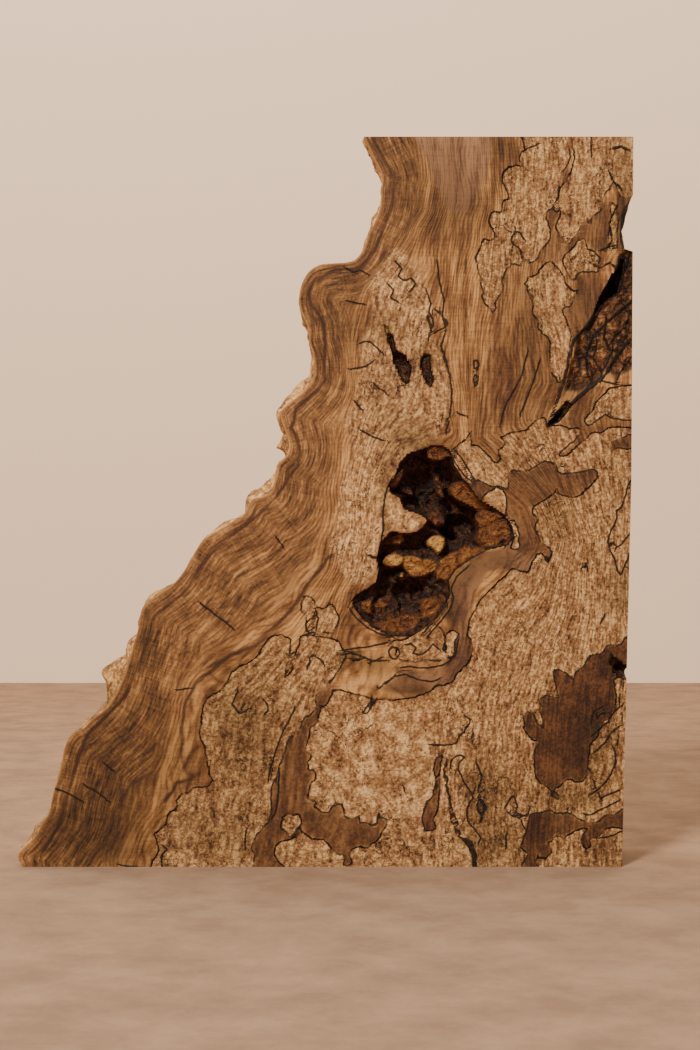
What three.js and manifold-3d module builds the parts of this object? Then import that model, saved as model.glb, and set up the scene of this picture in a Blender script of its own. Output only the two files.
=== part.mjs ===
// A free-standing slab of spalted maple burl: one piece of wood, sawn flat on the front, back, top, right
// and base, with the burl's natural edge down its left side. A bark pocket opens in the front face, a
// bark seam has rotted out of the upper right edge, and a few small holes and a pit are let into the face.
//
// Millimetres, +Z up. The front face looks along -Y and lies at y = -THICKNESS / 2, and the base is z = 0.
// Outlines are lists of [u, v] places read by eye off a front view of the face, 700 wide and 1050 high,
// and face() turns them into millimetres. Sizes are in millimetres where no other unit is given.

import * as THREE from "three";
import { ImprovedNoise } from "three/addons/math/ImprovedNoise.js";
import { mergeVertices } from "three/addons/utils/BufferGeometryUtils.js";
import Module from "manifold-3d";

// Driving dimensions
const HEIGHT = 400;
const THICKNESS = 56;
const FRONT = -THICKNESS / 2;

// The front view: its top and base lines, and the middle of its width
const TOP_V = 136.5;
const BASE_V = 867;
const MIDDLE_U = 324.5;
const SCALE = HEIGHT / (BASE_V - TOP_V);

// The sawn right side is straight in two lengths, with a slight bend between them
const RIGHT_SIDE = [
  [633.5, TOP_V],
  [631.5, 480],
  [622, BASE_V],
];

// The natural edge on the front face, from above the top to below the base
const NATURAL_EDGE = [
  [356, 118], [364, 136.5], [369, 149], [376, 163], [382.5, 177], [381.5, 190], [380.5, 208],
  [374, 224], [369, 233], [365, 246], [358, 257], [349, 262], [328, 264], [312, 269], [303, 281],
  [299, 297], [301, 312], [308, 328], [309.5, 344], [314, 358], [314, 378], [302, 393], [284, 408],
  [280.5, 416], [286, 432], [289.5, 446], [287, 456], [278.5, 464], [275, 480], [271.5, 493],
  [262, 497.5], [251, 501], [245, 514], [231, 523], [208, 537], [198, 547], [184, 571], [172, 585],
  [150, 600], [141.5, 611], [137.5, 632], [130, 657], [119, 688], [108, 707], [94, 718.5], [83, 729],
  [73, 734], [65, 747], [60, 771], [52.5, 797], [49.5, 813], [43, 823], [34, 838], [21, 851],
  [18, 858], [22, 867], [28, 890],
];

// Swells and dips of the natural edge behind the front face: where along the edge (v), how deep behind
// the face, how far each reaches, and how far it stands out, all but v in millimetres
const SWELLS = [
  { v: 165, depth: 30, reach: 17, out: -3 },
  { v: 218, depth: 9, reach: 6, out: 3 },
  { v: 232, depth: 42, reach: 15, out: 5 },
  { v: 290, depth: 26, reach: 15, out: -3 },
  { v: 322, depth: 46, reach: 13, out: 4 },
  { v: 366, depth: 15, reach: 9, out: 2.5 },
  { v: 394, depth: 12, reach: 13, out: 5 },
  { v: 420, depth: 38, reach: 16, out: 6 },
  { v: 444, depth: 15, reach: 7, out: 8 },
  { v: 492, depth: 10, reach: 9, out: 6 },
  { v: 530, depth: 34, reach: 16, out: 5 },
  { v: 575, depth: 22, reach: 15, out: -2 },
  { v: 604, depth: 44, reach: 16, out: 7 },
  { v: 646, depth: 14, reach: 7, out: 5 },
  { v: 682, depth: 24, reach: 15, out: 15 },
  { v: 722, depth: 44, reach: 15, out: 6 },
  { v: 752, depth: 24, reach: 13, out: -2 },
  { v: 790, depth: 40, reach: 15, out: 7 },
  { v: 836, depth: 14, reach: 10, out: 3.5 },
];

// The natural edge sets back towards the rear face, keeps to the front outline over its first few
// millimetres, and carries knobs and grit between the swells
const EDGE_SETBACK = 4;
const EDGE_LEAD = 5;
const KNOB_SIZE = 9;
const KNOB_HEIGHT = 1.5;
const GRIT_SIZE = 3.6;
const GRIT_HEIGHT = 0.6;
const SWELL_FALL = 1.4;
const EDGE_STEPS = 150;
const DEPTH_STEPS = 17;

// The bark pocket: its rim on the face, and its depth at places on its floor
const POCKET_RIM = [
  [424, 449], [433, 445], [443, 446], [450, 451], [453, 463], [460, 476], [470, 487], [479, 500],
  [496, 509.5], [505, 517], [512, 529], [513, 538], [508, 545], [488, 550], [471, 559], [456, 570],
  [449, 580], [449, 597], [441, 611], [426, 628], [411, 636.5], [393, 636.5], [372, 627], [357, 612],
  [352, 603], [356, 595.5], [376, 583], [379, 570], [377, 556], [381, 543], [391, 531.5], [404, 533.5],
  [416, 532.5], [424, 527], [427, 519], [419, 513.5], [404, 508.5], [400, 498], [391, 493], [389, 485],
  [396, 474], [400, 463], [408, 454],
];
const POCKET_FLOOR = [
  [440, 452, 4], [418, 462, 12], [438, 466, 15], [404, 472, 11], [422, 480, 22], [446, 482, 19],
  [401, 486, 13], [414, 499, 20], [434, 500, 24], [452, 503, 26], [438, 515, 15], [464, 524, 33],
  [454, 532, 32], [476, 530, 27], [470, 511, 20], [462, 494, 10], [484, 514, 8], [492, 524, 7],
  [502, 532, 5], [490, 542, 6], [468, 546, 9], [424, 540, 16], [438, 542, 6], [450, 552, 11],
  [408, 544, 13], [393, 541, 8], [384, 553, 13], [394, 562, 6], [408, 560, 8], [424, 557, 9],
  [438, 562, 6], [420, 574, 8], [402, 577, 9], [388, 575, 17], [440, 580, 8], [452, 565, 3],
  [386, 590, 14], [400, 592, 22], [416, 590, 21], [432, 593, 14], [442, 596, 7], [400, 606, 16],
  [384, 604, 12], [368, 600, 6], [364, 609, 4], [380, 618, 8], [401, 622, 9], [418, 613, 11],
  [434, 606, 7], [402, 632, 4], [422, 623, 5],
];

// The bark seam at the upper right: a notch right through the side, and a void below it
const NOTCH_RIM = [
  [645, 194], [630, 199], [624, 204], [618, 209], [616, 217], [617, 227], [615.5, 236], [616, 244],
  [619, 250], [626, 249.5], [631, 247.5], [645, 247.5],
];
const NOTCH_BACK_INSET = 7;
const NOTCH_GRID = 1.8;
const VOID_RIM = [
  [621, 259], [619, 268], [612, 275], [606, 286], [600, 296], [594, 311], [595, 318], [601, 311],
  [606, 302], [613, 297], [621, 291], [623, 280], [625, 268], [625, 260],
];
const VOID_FLOOR = [[620, 266, 9], [612, 285, 17], [606, 295, 14], [597, 312, 5]];
const LIP_RIM = [
  [566, 399], [563, 406], [556, 413], [549, 424], [551, 427], [558, 422], [567, 413], [572, 405],
];
const LIP_FLOOR = [[564, 405, 4], [554, 421, 7]];

// The pit in the lower right side, and the small holes above the pocket
const PIT_RIM = [
  [612, 655], [611, 664], [615, 672], [622, 678], [640, 679], [640, 672], [627, 668], [618, 660],
];
const PIT_FLOOR = [[613, 661, 4], [622, 672, 9]];
const HOLE_RIM = [
  [385, 321], [390, 329], [394, 338], [396, 350], [405, 356], [410, 366], [410, 378], [407, 386],
  [402, 380], [398, 370], [393, 359], [391, 349], [386, 336], [383, 327],
];
const HOLE_FLOOR = [[386, 328, 2], [391, 342, 3], [401, 362, 8], [406, 378, 5]];
const SLIT_RIM = [
  [424, 353], [430, 355], [431, 370], [434, 378], [431, 388], [426, 383], [422, 371], [420, 360],
];
const SLIT_FLOOR = [[425, 360, 3], [428, 380, 3.5]];

// How the hollows are broken out: the width of the wall under the rim, the size and height of the lumps on
// the floor, the least depth, the fineness of each cut, how sharply a given depth holds near its place,
// and how far the cut starts in front of the face
const WALL_WIDTH = 2.2;
const LUMP_SIZE = 5;
const LUMP_HEIGHT = 1.2;
const LEAST_DEPTH = 0.6;
const POCKET_GRID = 2;
const VOID_GRID = 1.7;
const HOLE_GRID = 1.3;
const DEPTH_HOLD = 1.6;
const MOUTH = 3;

// The notch's wall steepens from a lip at the face to the open back
const NOTCH_LIP = 0.02;
const NOTCH_STEEPNESS = 1.5;

const WOOD = { color: 0x9a6a3c, roughness: 0.72, metalness: 0 };

const wasm = await Module();
wasm.setup();
const noise = new ImprovedNoise();

// A place on the face in the front view, in millimetres across and up
function face([u, v]) {
  return new THREE.Vector2((u - MIDDLE_U) * SCALE, (BASE_V - v) * SCALE);
}

function smooth(low, high, value) {
  return THREE.MathUtils.smoothstep(value, low, high);
}

// Lumps of a given size, from about -1 to 1
function unevenness(x, y, z, size) {
  return 2 * noise.noise(x / size, y / size, z / size);
}

// A closed three.js geometry as a solid
function solidOf(geometry) {
  const bare = geometry.clone();
  bare.deleteAttribute("normal");
  bare.deleteAttribute("uv");
  const merged = mergeVertices(bare, 1e-4);
  return new wasm.Manifold(
    new wasm.Mesh({
      numProp: 3,
      vertProperties: merged.attributes.position.array,
      triVerts: new Uint32Array(merged.index.array),
    }),
  );
}

// The sawn blank: the top, base, right, front and back planes, left long past the natural edge
function sawnBlank() {
  const pastLeft = -300;
  const corners = [
    new THREE.Vector2(pastLeft, 0),
    ...RIGHT_SIDE.map(face).reverse(),
    new THREE.Vector2(pastLeft, HEIGHT),
  ];
  const blank = new THREE.ExtrudeGeometry(new THREE.Shape(corners), {
    depth: THICKNESS,
    bevelEnabled: false,
  });
  blank.translate(0, 0, -THICKNESS / 2).rotateX(Math.PI / 2);
  return solidOf(blank);
}

// How far the natural edge stands out from the front outline at a height and depth behind the face
function edgeRelief(x, z, depth) {
  let out = -EDGE_SETBACK * smooth(0, THICKNESS, depth);
  for (const swell of SWELLS) {
    const up = (z - (BASE_V - swell.v) * SCALE) / swell.reach;
    const back = (depth - swell.depth) / swell.reach;
    out += swell.out * Math.exp(-SWELL_FALL * (up * up + back * back));
  }
  out += KNOB_HEIGHT * Math.abs(unevenness(x, depth, z, KNOB_SIZE));
  out += GRIT_HEIGHT * unevenness(x, depth, z, GRIT_SIZE);
  return out * smooth(0, EDGE_LEAD, depth);
}

// A block whose left side is the natural edge and whose other sides lie outside the blank
function naturalEdge() {
  const pastRight = 300;
  const margin = 2;
  const outline = new THREE.SplineCurve(NATURAL_EDGE.map(face));
  const block = new THREE.BoxGeometry(1, 1, 1, 1, EDGE_STEPS, DEPTH_STEPS);
  const place = block.attributes.position;
  const chord = 0.012;
  for (let i = 0; i < place.count; i++) {
    const along = 0.5 - place.getY(i);
    const depth = THREE.MathUtils.lerp(-margin, THICKNESS + margin, 0.5 - place.getZ(i));
    const at = outline.getPointAt(along);
    const before = outline.getPointAt(Math.max(0, along - chord));
    const after = outline.getPointAt(Math.min(1, along + chord));
    const run = after.sub(before).normalize();
    const out = edgeRelief(at.x, at.y, depth);
    const onLeft = place.getX(i) < 0;
    const x = onLeft ? at.x + run.y * out : pastRight;
    const z = onLeft ? at.y - run.x * out : at.y;
    place.setXYZ(i, x, depth - THICKNESS / 2, z);
  }
  return solidOf(block);
}

// Distance in millimetres from a point to a closed outline, positive inside
function inside(outline, point) {
  let nearest = Infinity;
  let within = false;
  outline.forEach((a, i) => {
    const b = outline[(i + 1) % outline.length];
    const along = b.clone().sub(a);
    const t = THREE.MathUtils.clamp(point.clone().sub(a).dot(along) / along.lengthSq(), 0, 1);
    nearest = Math.min(nearest, point.distanceTo(a.clone().addScaledVector(along, t)));
    if (a.y > point.y !== b.y > point.y && point.x < a.x + ((point.y - a.y) / along.y) * along.x) {
      within = !within;
    }
  });
  return within ? nearest : -nearest;
}

// Depth between the places where it is given, each weighted by its nearness
function floorDepth(floor, point) {
  let total = 0;
  let weights = 0;
  for (const [u, v, depth] of floor) {
    const weight = 1 / (face([u, v]).distanceToSquared(point) ** DEPTH_HOLD + 1);
    total += weight * depth;
    weights += weight;
  }
  return total / weights;
}

// A tool for cutting a hollow: a block over the rim whose inner side follows depthAt(point, distance)
function hollow(rim, step, depthAt) {
  const outline = rim.map(face);
  const box = new THREE.Box2().setFromPoints(outline).expandByScalar(2 * step);
  const size = box.getSize(new THREE.Vector2());
  const centre = box.getCenter(new THREE.Vector2());
  const across = Math.ceil(size.x / step);
  const up = Math.ceil(size.y / step);
  const tool = new THREE.BoxGeometry(size.x, size.y, 1, across, up, 1);
  const place = tool.attributes.position;
  for (let i = 0; i < place.count; i++) {
    const point = new THREE.Vector2(place.getX(i), place.getY(i)).add(centre);
    const inner = place.getZ(i) < 0;
    const distance = inside(outline, point);
    const depth = inner ? depthAt(point, distance) : -MOUTH;
    place.setXYZ(i, point.x, FRONT + depth, point.y);
  }
  return solidOf(tool);
}

// A hollow with a broken wall and a lumpy floor
function pitted(rim, floor, step) {
  return hollow(rim, step, (point, distance) => {
    if (distance <= 0) return Math.max(-MOUTH / 2, distance);
    const lump = LUMP_HEIGHT * unevenness(point.x, FRONT, point.y, LUMP_SIZE);
    const wall = 1 - Math.exp(-distance / WALL_WIDTH);
    return wall * Math.max(LEAST_DEPTH, floorDepth(floor, point) + lump);
  });
}

// The notch in the right side: a steep wall, open all the way through behind it
function notch() {
  const openAt = NOTCH_BACK_INSET * SCALE;
  return hollow(NOTCH_RIM, NOTCH_GRID, (point, distance) => {
    if (distance <= 0) return Math.max(-MOUTH / 2, distance);
    const ragged = distance + LUMP_HEIGHT * unevenness(point.x, FRONT, point.y, LUMP_SIZE);
    const open = THREE.MathUtils.clamp(ragged / openAt, NOTCH_LIP, 1);
    return (THICKNESS + MOUTH) * open ** NOTCH_STEEPNESS;
  });
}

function burl() {
  const hollows = [
    pitted(POCKET_RIM, POCKET_FLOOR, POCKET_GRID),
    notch(),
    pitted(VOID_RIM, VOID_FLOOR, VOID_GRID),
    pitted(LIP_RIM, LIP_FLOOR, VOID_GRID),
    pitted(PIT_RIM, PIT_FLOOR, VOID_GRID),
    pitted(HOLE_RIM, HOLE_FLOOR, HOLE_GRID),
    pitted(SLIT_RIM, SLIT_FLOOR, HOLE_GRID),
  ];
  let wood = sawnBlank().intersect(naturalEdge());
  for (const tool of hollows) wood = wood.subtract(tool);
  const bodies = wood.decompose().sort((a, b) => b.volume() - a.volume());
  return bodies[0];
}

// A solid as a three.js mesh, centred over its base
function meshOf(name, solid, material) {
  const made = solid.getMesh();
  const geometry = new THREE.BufferGeometry();
  geometry.setAttribute("position", new THREE.BufferAttribute(made.vertProperties, made.numProp));
  geometry.setIndex(new THREE.BufferAttribute(made.triVerts, 1));
  geometry.computeBoundingBox();
  const centre = geometry.boundingBox.getCenter(new THREE.Vector3());
  geometry.translate(-centre.x, -centre.y, 0);
  geometry.computeVertexNormals();
  const mesh = new THREE.Mesh(geometry, new THREE.MeshStandardMaterial(material));
  mesh.name = name;
  return mesh;
}

const slab = new THREE.Group();
slab.add(meshOf("maple_burl", burl(), WOOD));

export default slab;
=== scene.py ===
import itertools
import math

import bmesh
import bpy
import numpy as np
from mathutils import Matrix, Vector


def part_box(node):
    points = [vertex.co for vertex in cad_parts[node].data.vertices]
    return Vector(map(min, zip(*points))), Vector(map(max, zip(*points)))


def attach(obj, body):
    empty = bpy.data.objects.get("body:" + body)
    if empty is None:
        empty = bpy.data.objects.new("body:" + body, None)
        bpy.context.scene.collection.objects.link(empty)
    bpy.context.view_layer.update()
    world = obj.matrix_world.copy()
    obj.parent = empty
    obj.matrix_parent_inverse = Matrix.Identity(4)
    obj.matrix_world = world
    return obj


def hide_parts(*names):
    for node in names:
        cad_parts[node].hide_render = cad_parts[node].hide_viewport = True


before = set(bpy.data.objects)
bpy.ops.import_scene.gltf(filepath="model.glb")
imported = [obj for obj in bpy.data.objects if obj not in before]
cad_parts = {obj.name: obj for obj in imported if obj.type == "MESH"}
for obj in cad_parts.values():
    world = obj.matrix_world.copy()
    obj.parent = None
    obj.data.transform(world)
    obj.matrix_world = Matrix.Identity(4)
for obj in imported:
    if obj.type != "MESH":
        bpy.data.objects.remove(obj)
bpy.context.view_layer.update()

# ---------------------------------------------------------------- the burl slab
# A thick slab of spalted maple burl, one piece of wood. It was sawn flat on the front, back, top, right
# side and base, and its left side is left as it grew. Nothing is fixed to it and it stands on its base.
node = "maple_burl"
low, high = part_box(node)
# Places are read off the front view: u counts steps to the right and v counts steps down
top_v, base_v, right_u = 136.5, 867, 633.5
step = (high.z - low.z) / (base_v - top_v)
middle_u = right_u - high.x / step
thickness = high.y - low.y
mm = 0.001


def smooth(start, end, value):
    t = np.clip((value - start) / (end - start), 0, 1)
    return t * t * (3 - 2 * t)


def lumps(u, v, d, size, seed=1):
    """Soft unevenness from -1 to 1 over points in the view's steps, with lumps of one size."""
    table = np.random.default_rng(seed).uniform(-1, 1, 4096)
    place = np.stack(np.broadcast_arrays(u, v, d), -1) / size
    cell = np.floor(place).astype(np.int64)
    part = place - cell
    part = part * part * (3 - 2 * part)
    total = 0
    for corner in itertools.product((0, 1), repeat=3):
        share = np.prod(np.where(corner, part, 1 - part), axis=-1)
        key = (cell + corner) @ np.array((7919, 104729, 1299709))
        total = total + share * table[key % 4096]
    return total


def traced(points, steps=10):
    """A smooth line through places read off the front view."""
    p = np.array([points[0], *points, points[-1]], float)
    t = np.linspace(0, 1, steps, endpoint=False)[:, None]
    runs = []
    for a, b, c, d in zip(p, p[1:], p[2:], p[3:]):
        bend = (2 * a - 5 * b + 4 * c - d) * t**2 + (3 * b - a - 3 * c + d) * t**3
        runs.append((2 * b + (c - a) * t + bend) / 2)
    return np.vstack([*runs, p[-1:]])


def inside(rim, u, v):
    """Distance to a closed outline in the view's steps, above zero inside it."""
    near = np.full(np.shape(u), 1e9)
    within = np.zeros(np.shape(u), bool)
    for (au, av), (bu, bv) in zip(rim, [*rim[1:], rim[0]]):
        du, dv = bu - au, bv - av
        t = np.clip(((u - au) * du + (v - av) * dv) / (du * du + dv * dv + 1e-9), 0, 1)
        near = np.minimum(near, np.hypot(u - au - t * du, v - av - t * dv))
        if av != bv:
            crosses = ((av > v) != (bv > v)) & (u < au + (v - av) / dv * du)
            within ^= crosses
    return np.where(within, near, -near)


def beside(path, u, v):
    """Distance to a line through places, in the view's steps, below zero on its left, and how far along."""
    nearest, along = np.full(np.shape(u), 1e9), np.zeros(np.shape(u))
    for i, ((au, av), (bu, bv)) in enumerate(zip(path, path[1:])):
        du, dv = bu - au, bv - av
        part = np.clip(((u - au) * du + (v - av) * dv) / (du * du + dv * dv), 0, 1)
        off_u, off_v = u - au - part * du, v - av - part * dv
        away = np.hypot(off_u, off_v) * np.where(du * off_v - dv * off_u < 0, -1, 1)
        closer = np.abs(away) < np.abs(nearest)
        nearest, along = np.where(closer, away, nearest), np.where(closer, i + part, along)
    return nearest, along


def beside_any(paths, u, v, reach=99.0):
    """Distance to the nearest of several lines."""
    nearest = np.full(np.shape(u), reach)
    for path in paths:
        away = beside(path, u, v)[0]
        nearest = np.where(np.abs(away) < np.abs(nearest), away, nearest)
    return nearest


# The grown edge, read off the front view from top to base. It runs a little past both ends
natural_edge = [
    (356, 118), (364, 136.5), (369, 149), (376, 163), (382.5, 177), (381.5, 190), (380.5, 208), (374, 224),
    (369, 233), (365, 246), (358, 257), (349, 262), (328, 264), (312, 269), (303, 281), (299, 297),
    (301, 312), (308, 328), (309.5, 344), (314, 358), (314, 378), (302, 393), (284, 408), (280.5, 416),
    (286, 432), (289.5, 446), (287, 456), (278.5, 464), (275, 480), (271.5, 493), (262, 497.5), (251, 501),
    (245, 514), (231, 523), (208, 537), (198, 547), (184, 571), (172, 585), (150, 600), (141.5, 611),
    (137.5, 632), (130, 657), (119, 688), (108, 707), (94, 718.5), (83, 729), (73, 734), (65, 747),
    (60, 771), (52.5, 797), (49.5, 813), (43, 823), (34, 838), (21, 851), (18, 858), (22, 867), (28, 890),
]
edge = traced(natural_edge)
edge = edge[(edge[:, 1] > top_v) & (edge[:, 1] < base_v)]
edge = np.vstack([(364, top_v), edge, (22, base_v)])
edge_run = np.concatenate([[0], np.cumsum(np.hypot(*np.diff(edge, axis=0).T))])
edge_run /= edge_run[-1]
edge_way = np.gradient(edge, edge_run, axis=0)
edge_way /= np.hypot(*edge_way.T)[:, None]

# Swells of the grown edge behind the front: v along it, then mm behind the front, reach and height in mm
swells = [
    (165, 30, 17, -3), (218, 9, 6, 3), (232, 42, 15, 5), (290, 26, 15, -3), (322, 46, 13, 4),
    (366, 15, 9, 2.5), (394, 12, 13, 5), (420, 38, 16, 6), (444, 15, 7, 8), (492, 10, 9, 6),
    (530, 34, 16, 5), (575, 22, 15, -2), (604, 44, 16, 7), (646, 14, 7, 5), (682, 24, 15, 15),
    (722, 44, 15, 6), (752, 24, 13, -2), (790, 40, 15, 7), (836, 14, 10, 3.5),
]


def relief(u, v, depth):
    """How far the grown edge stands out from its line on the front, in the view's steps."""
    behind = depth / mm
    out = -4 * smooth(0, thickness / mm, behind)
    for at, back, reach, height in swells:
        up = (v - at) * step / mm / reach
        out = out + height * np.exp(-1.4 * (up**2 + ((behind - back) / reach) ** 2))
    d = depth / step
    out = out + 1.5 * np.abs(lumps(u, v, d, 16)) + 0.8 * lumps(u, v, d, 7, 2) + 0.5 * lumps(u, v, d, 3.5, 3)
    return out * smooth(0, 4, behind) * mm / step


# The notch through the right side: its outline on the front, and on the back
notch_rim = [
    (194, 633), (199, 630), (204, 624), (209, 618), (217, 616), (227, 617), (236, 615.5), (244, 616),
    (249, 619), (249.8, 626), (250.3, 634),
]
notch_back = [
    (194, 634), (196, 632), (201, 630), (208, 629), (214, 627), (222, 625), (229, 623), (236, 624),
    (243, 625), (249, 626), (250.3, 634),
]


def right_side(v, depth):
    """Where the sawn right side stands, and the notch's wall where it is cut away."""
    plane = np.interp(v, (top_v, 480, base_v), (right_u, 631.5, 622))
    rim = np.interp(v, *np.transpose(notch_rim))
    back = np.interp(v, *np.transpose(notch_back))
    wall = rim + (back + 1 - rim) * smooth(-4 * mm, 9 * mm, depth) ** 0.6
    wall = wall + 0.8 * lumps(wall, v, depth / step, 5, 4) * smooth(0, 3 * mm, depth)
    return np.where((v > 195) & (v < 250), np.minimum(plane, wall), plane)


def crowding(u, v):
    """How closely the columns of the mesh stand: closer over the pocket and the seam."""
    pocket = np.exp(-(((u - 430) / 75) ** 4) - ((v - 545) / 110) ** 4)
    seam = np.exp(-(((u - 620) / 35) ** 4) - ((v - 290) / 130) ** 4)
    return 1 + 1.5 * pocket + 1.2 * seam


# The front is a grid, its rim is drawn back through the thickness, and a coarser grid closes the back
rows, columns, depth_steps, depth_crowding = 400, 150, 18, 1.3
back_share, back_width, back_height = 2.5, 0.985, 0.992
row_s = np.linspace(0, 1, rows + 1)
even_t = np.linspace(0, 1, 500)


def ruled(s, t, depth):
    """The slab's outline at a depth behind the front: s runs from top to base, t from left to right."""
    left = [np.interp(s, edge_run, edge[:, i]) for i in (0, 1)]
    way = [np.interp(s, edge_run, edge_way[:, i]) for i in (0, 1)]
    out = relief(*left, depth)
    left_u = left[0] - way[1] * out
    left_v = np.clip(left[1] + way[0] * out, top_v, base_v)
    left_v = np.where(s <= 0, top_v, np.where(s >= 1, base_v, left_v))
    right_v = top_v + (base_v - top_v) * s
    return left_u + (right_side(right_v, depth) - left_u) * t, left_v + (right_v - left_v) * t


column_t = []
for s in row_s:
    u, v = ruled(np.full(len(even_t), s), even_t, 0.0)
    crowd = np.cumsum(crowding(u, v))
    crowd = (crowd - crowd[0]) / (crowd[-1] - crowd[0])
    column_t.append(np.interp(np.linspace(0, 1, columns + 1), crowd, even_t))
column_t = np.array(column_t)

bm = bmesh.new()
bmesh.ops.create_grid(bm, x_segments=columns, y_segments=rows, size=1)
for i in range(depth_steps):
    outer = [e for e in bm.edges if e.is_boundary]
    made = bmesh.ops.extrude_edge_only(bm, edges=outer)["geom"]
    for vert in made:
        if isinstance(vert, bmesh.types.BMVert):
            vert.co.z = ((i + 1) / depth_steps) ** depth_crowding
outer = [e for e in bm.edges if e.is_boundary]
made = bmesh.ops.create_grid(
    bm, x_segments=int(columns / back_share), y_segments=int(rows / back_share), size=1)["verts"]
for vert in made:
    vert.co = (vert.co.x * back_width, vert.co.y * back_height, 1)
known = set(outer)
inner = [e for e in bm.edges if e.is_boundary and e not in known]
bmesh.ops.triangle_fill(bm, use_beauty=True, use_dissolve=False, edges=outer + inner)
bmesh.ops.recalc_face_normals(bm, faces=bm.faces)
bm.verts.index_update()
total = len(bm.verts)


def order(part):
    """A number from a face's or an edge's vertices, so that every run lists them in the same order."""
    number = 0
    for i in sorted(vert.index for vert in part.verts)[:3]:
        number = number * total + i
    return number


bm.faces.sort(key=order)
bm.edges.sort(key=order)
slab_mesh = bpy.data.meshes.new("burl_slab")
bm.to_mesh(slab_mesh)
bm.free()

count = len(slab_mesh.vertices)
grid = np.empty(count * 3)
slab_mesh.vertices.foreach_get("co", grid)
gx, gy, gz = grid.reshape(-1, 3).T
gx, gy = gx / np.abs(gx).max(), gy / np.abs(gy).max()
s = (1 - gy) / 2
row = np.clip(s * rows, 0, rows - 1e-6)
column = np.clip((gx + 1) / 2 * columns, 0, columns - 1e-6)
r, c = row.astype(int), column.astype(int)
fr, fc = row - r, column - c
t = (column_t[r, c] * (1 - fr) * (1 - fc) + column_t[r + 1, c] * fr * (1 - fc)
     + column_t[r, c + 1] * (1 - fr) * fc + column_t[r + 1, c + 1] * fr * fc)
t = np.where(gx >= 1, 1, np.where(gx <= -1, 0, t))
depth = gz * thickness
u, v = ruled(s, t, depth)
front = gz == 0

# The bark pocket in the face, and the small hollows: a broken wall under the rim, and a lumpy floor
pocket_rim = [
    (424, 449), (433, 445), (443, 446), (450, 451), (453, 463), (460, 476), (470, 487), (479, 500),
    (496, 509.5), (505, 517), (512, 529), (513, 538), (508, 545), (488, 550), (471, 559), (456, 570),
    (449, 580), (449, 597), (441, 611), (426, 628), (411, 636.5), (393, 636.5), (372, 627), (357, 612),
    (352, 603), (356, 595.5), (376, 583), (379, 570), (377, 556), (381, 543), (391, 531.5), (404, 533.5),
    (416, 532.5), (424, 527), (427, 519), (419, 513.5), (404, 508.5), (400, 498), (391, 493), (389, 485),
    (396, 474), (400, 463), (408, 454),
]
pocket_floor = [
    (440, 452, 4), (418, 462, 12), (438, 466, 15), (404, 472, 11), (422, 480, 22), (446, 482, 19),
    (401, 486, 13), (414, 499, 20), (434, 500, 24), (452, 503, 26), (438, 515, 15), (464, 524, 33),
    (454, 532, 32), (476, 530, 27), (470, 511, 20), (462, 494, 10), (484, 514, 8), (492, 524, 7),
    (502, 532, 5), (490, 542, 6), (468, 546, 9), (424, 540, 16), (438, 542, 6), (450, 552, 11),
    (408, 544, 13), (393, 541, 8), (384, 553, 13), (394, 562, 6), (408, 560, 8), (424, 557, 9),
    (438, 562, 6), (420, 574, 8), (402, 577, 9), (388, 575, 17), (440, 580, 8), (452, 565, 3),
    (386, 590, 14), (400, 592, 22), (416, 590, 21), (432, 593, 14), (442, 596, 7), (400, 606, 16),
    (384, 604, 12), (368, 600, 6), (364, 609, 4), (380, 618, 8), (401, 622, 9), (418, 613, 11),
    (434, 606, 7), (402, 632, 4), (422, 623, 5),
]
void_rim = [
    (621, 259), (619, 268), (612, 275), (606, 286), (600, 296), (594, 311), (595, 318), (601, 311),
    (606, 302), (613, 297), (621, 291), (623, 280), (625, 268), (625, 260),
]
lip_rim = [(566, 399), (563, 406), (556, 413), (549, 424), (551, 427), (558, 422), (567, 413), (572, 405)]
pit_rim = [(612, 655), (611, 664), (615, 672), (622, 678), (640, 679), (640, 672), (627, 668), (618, 660)]
hole_rim = [
    (385, 321), (390, 329), (394, 338), (396, 350), (405, 356), (410, 366), (410, 378), (407, 386),
    (402, 380), (398, 370), (393, 359), (391, 349), (386, 336), (383, 327),
]
slit_rim = [(424, 353), (430, 355), (431, 370), (434, 378), (431, 388), (426, 383), (422, 371), (420, 360)]
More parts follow.
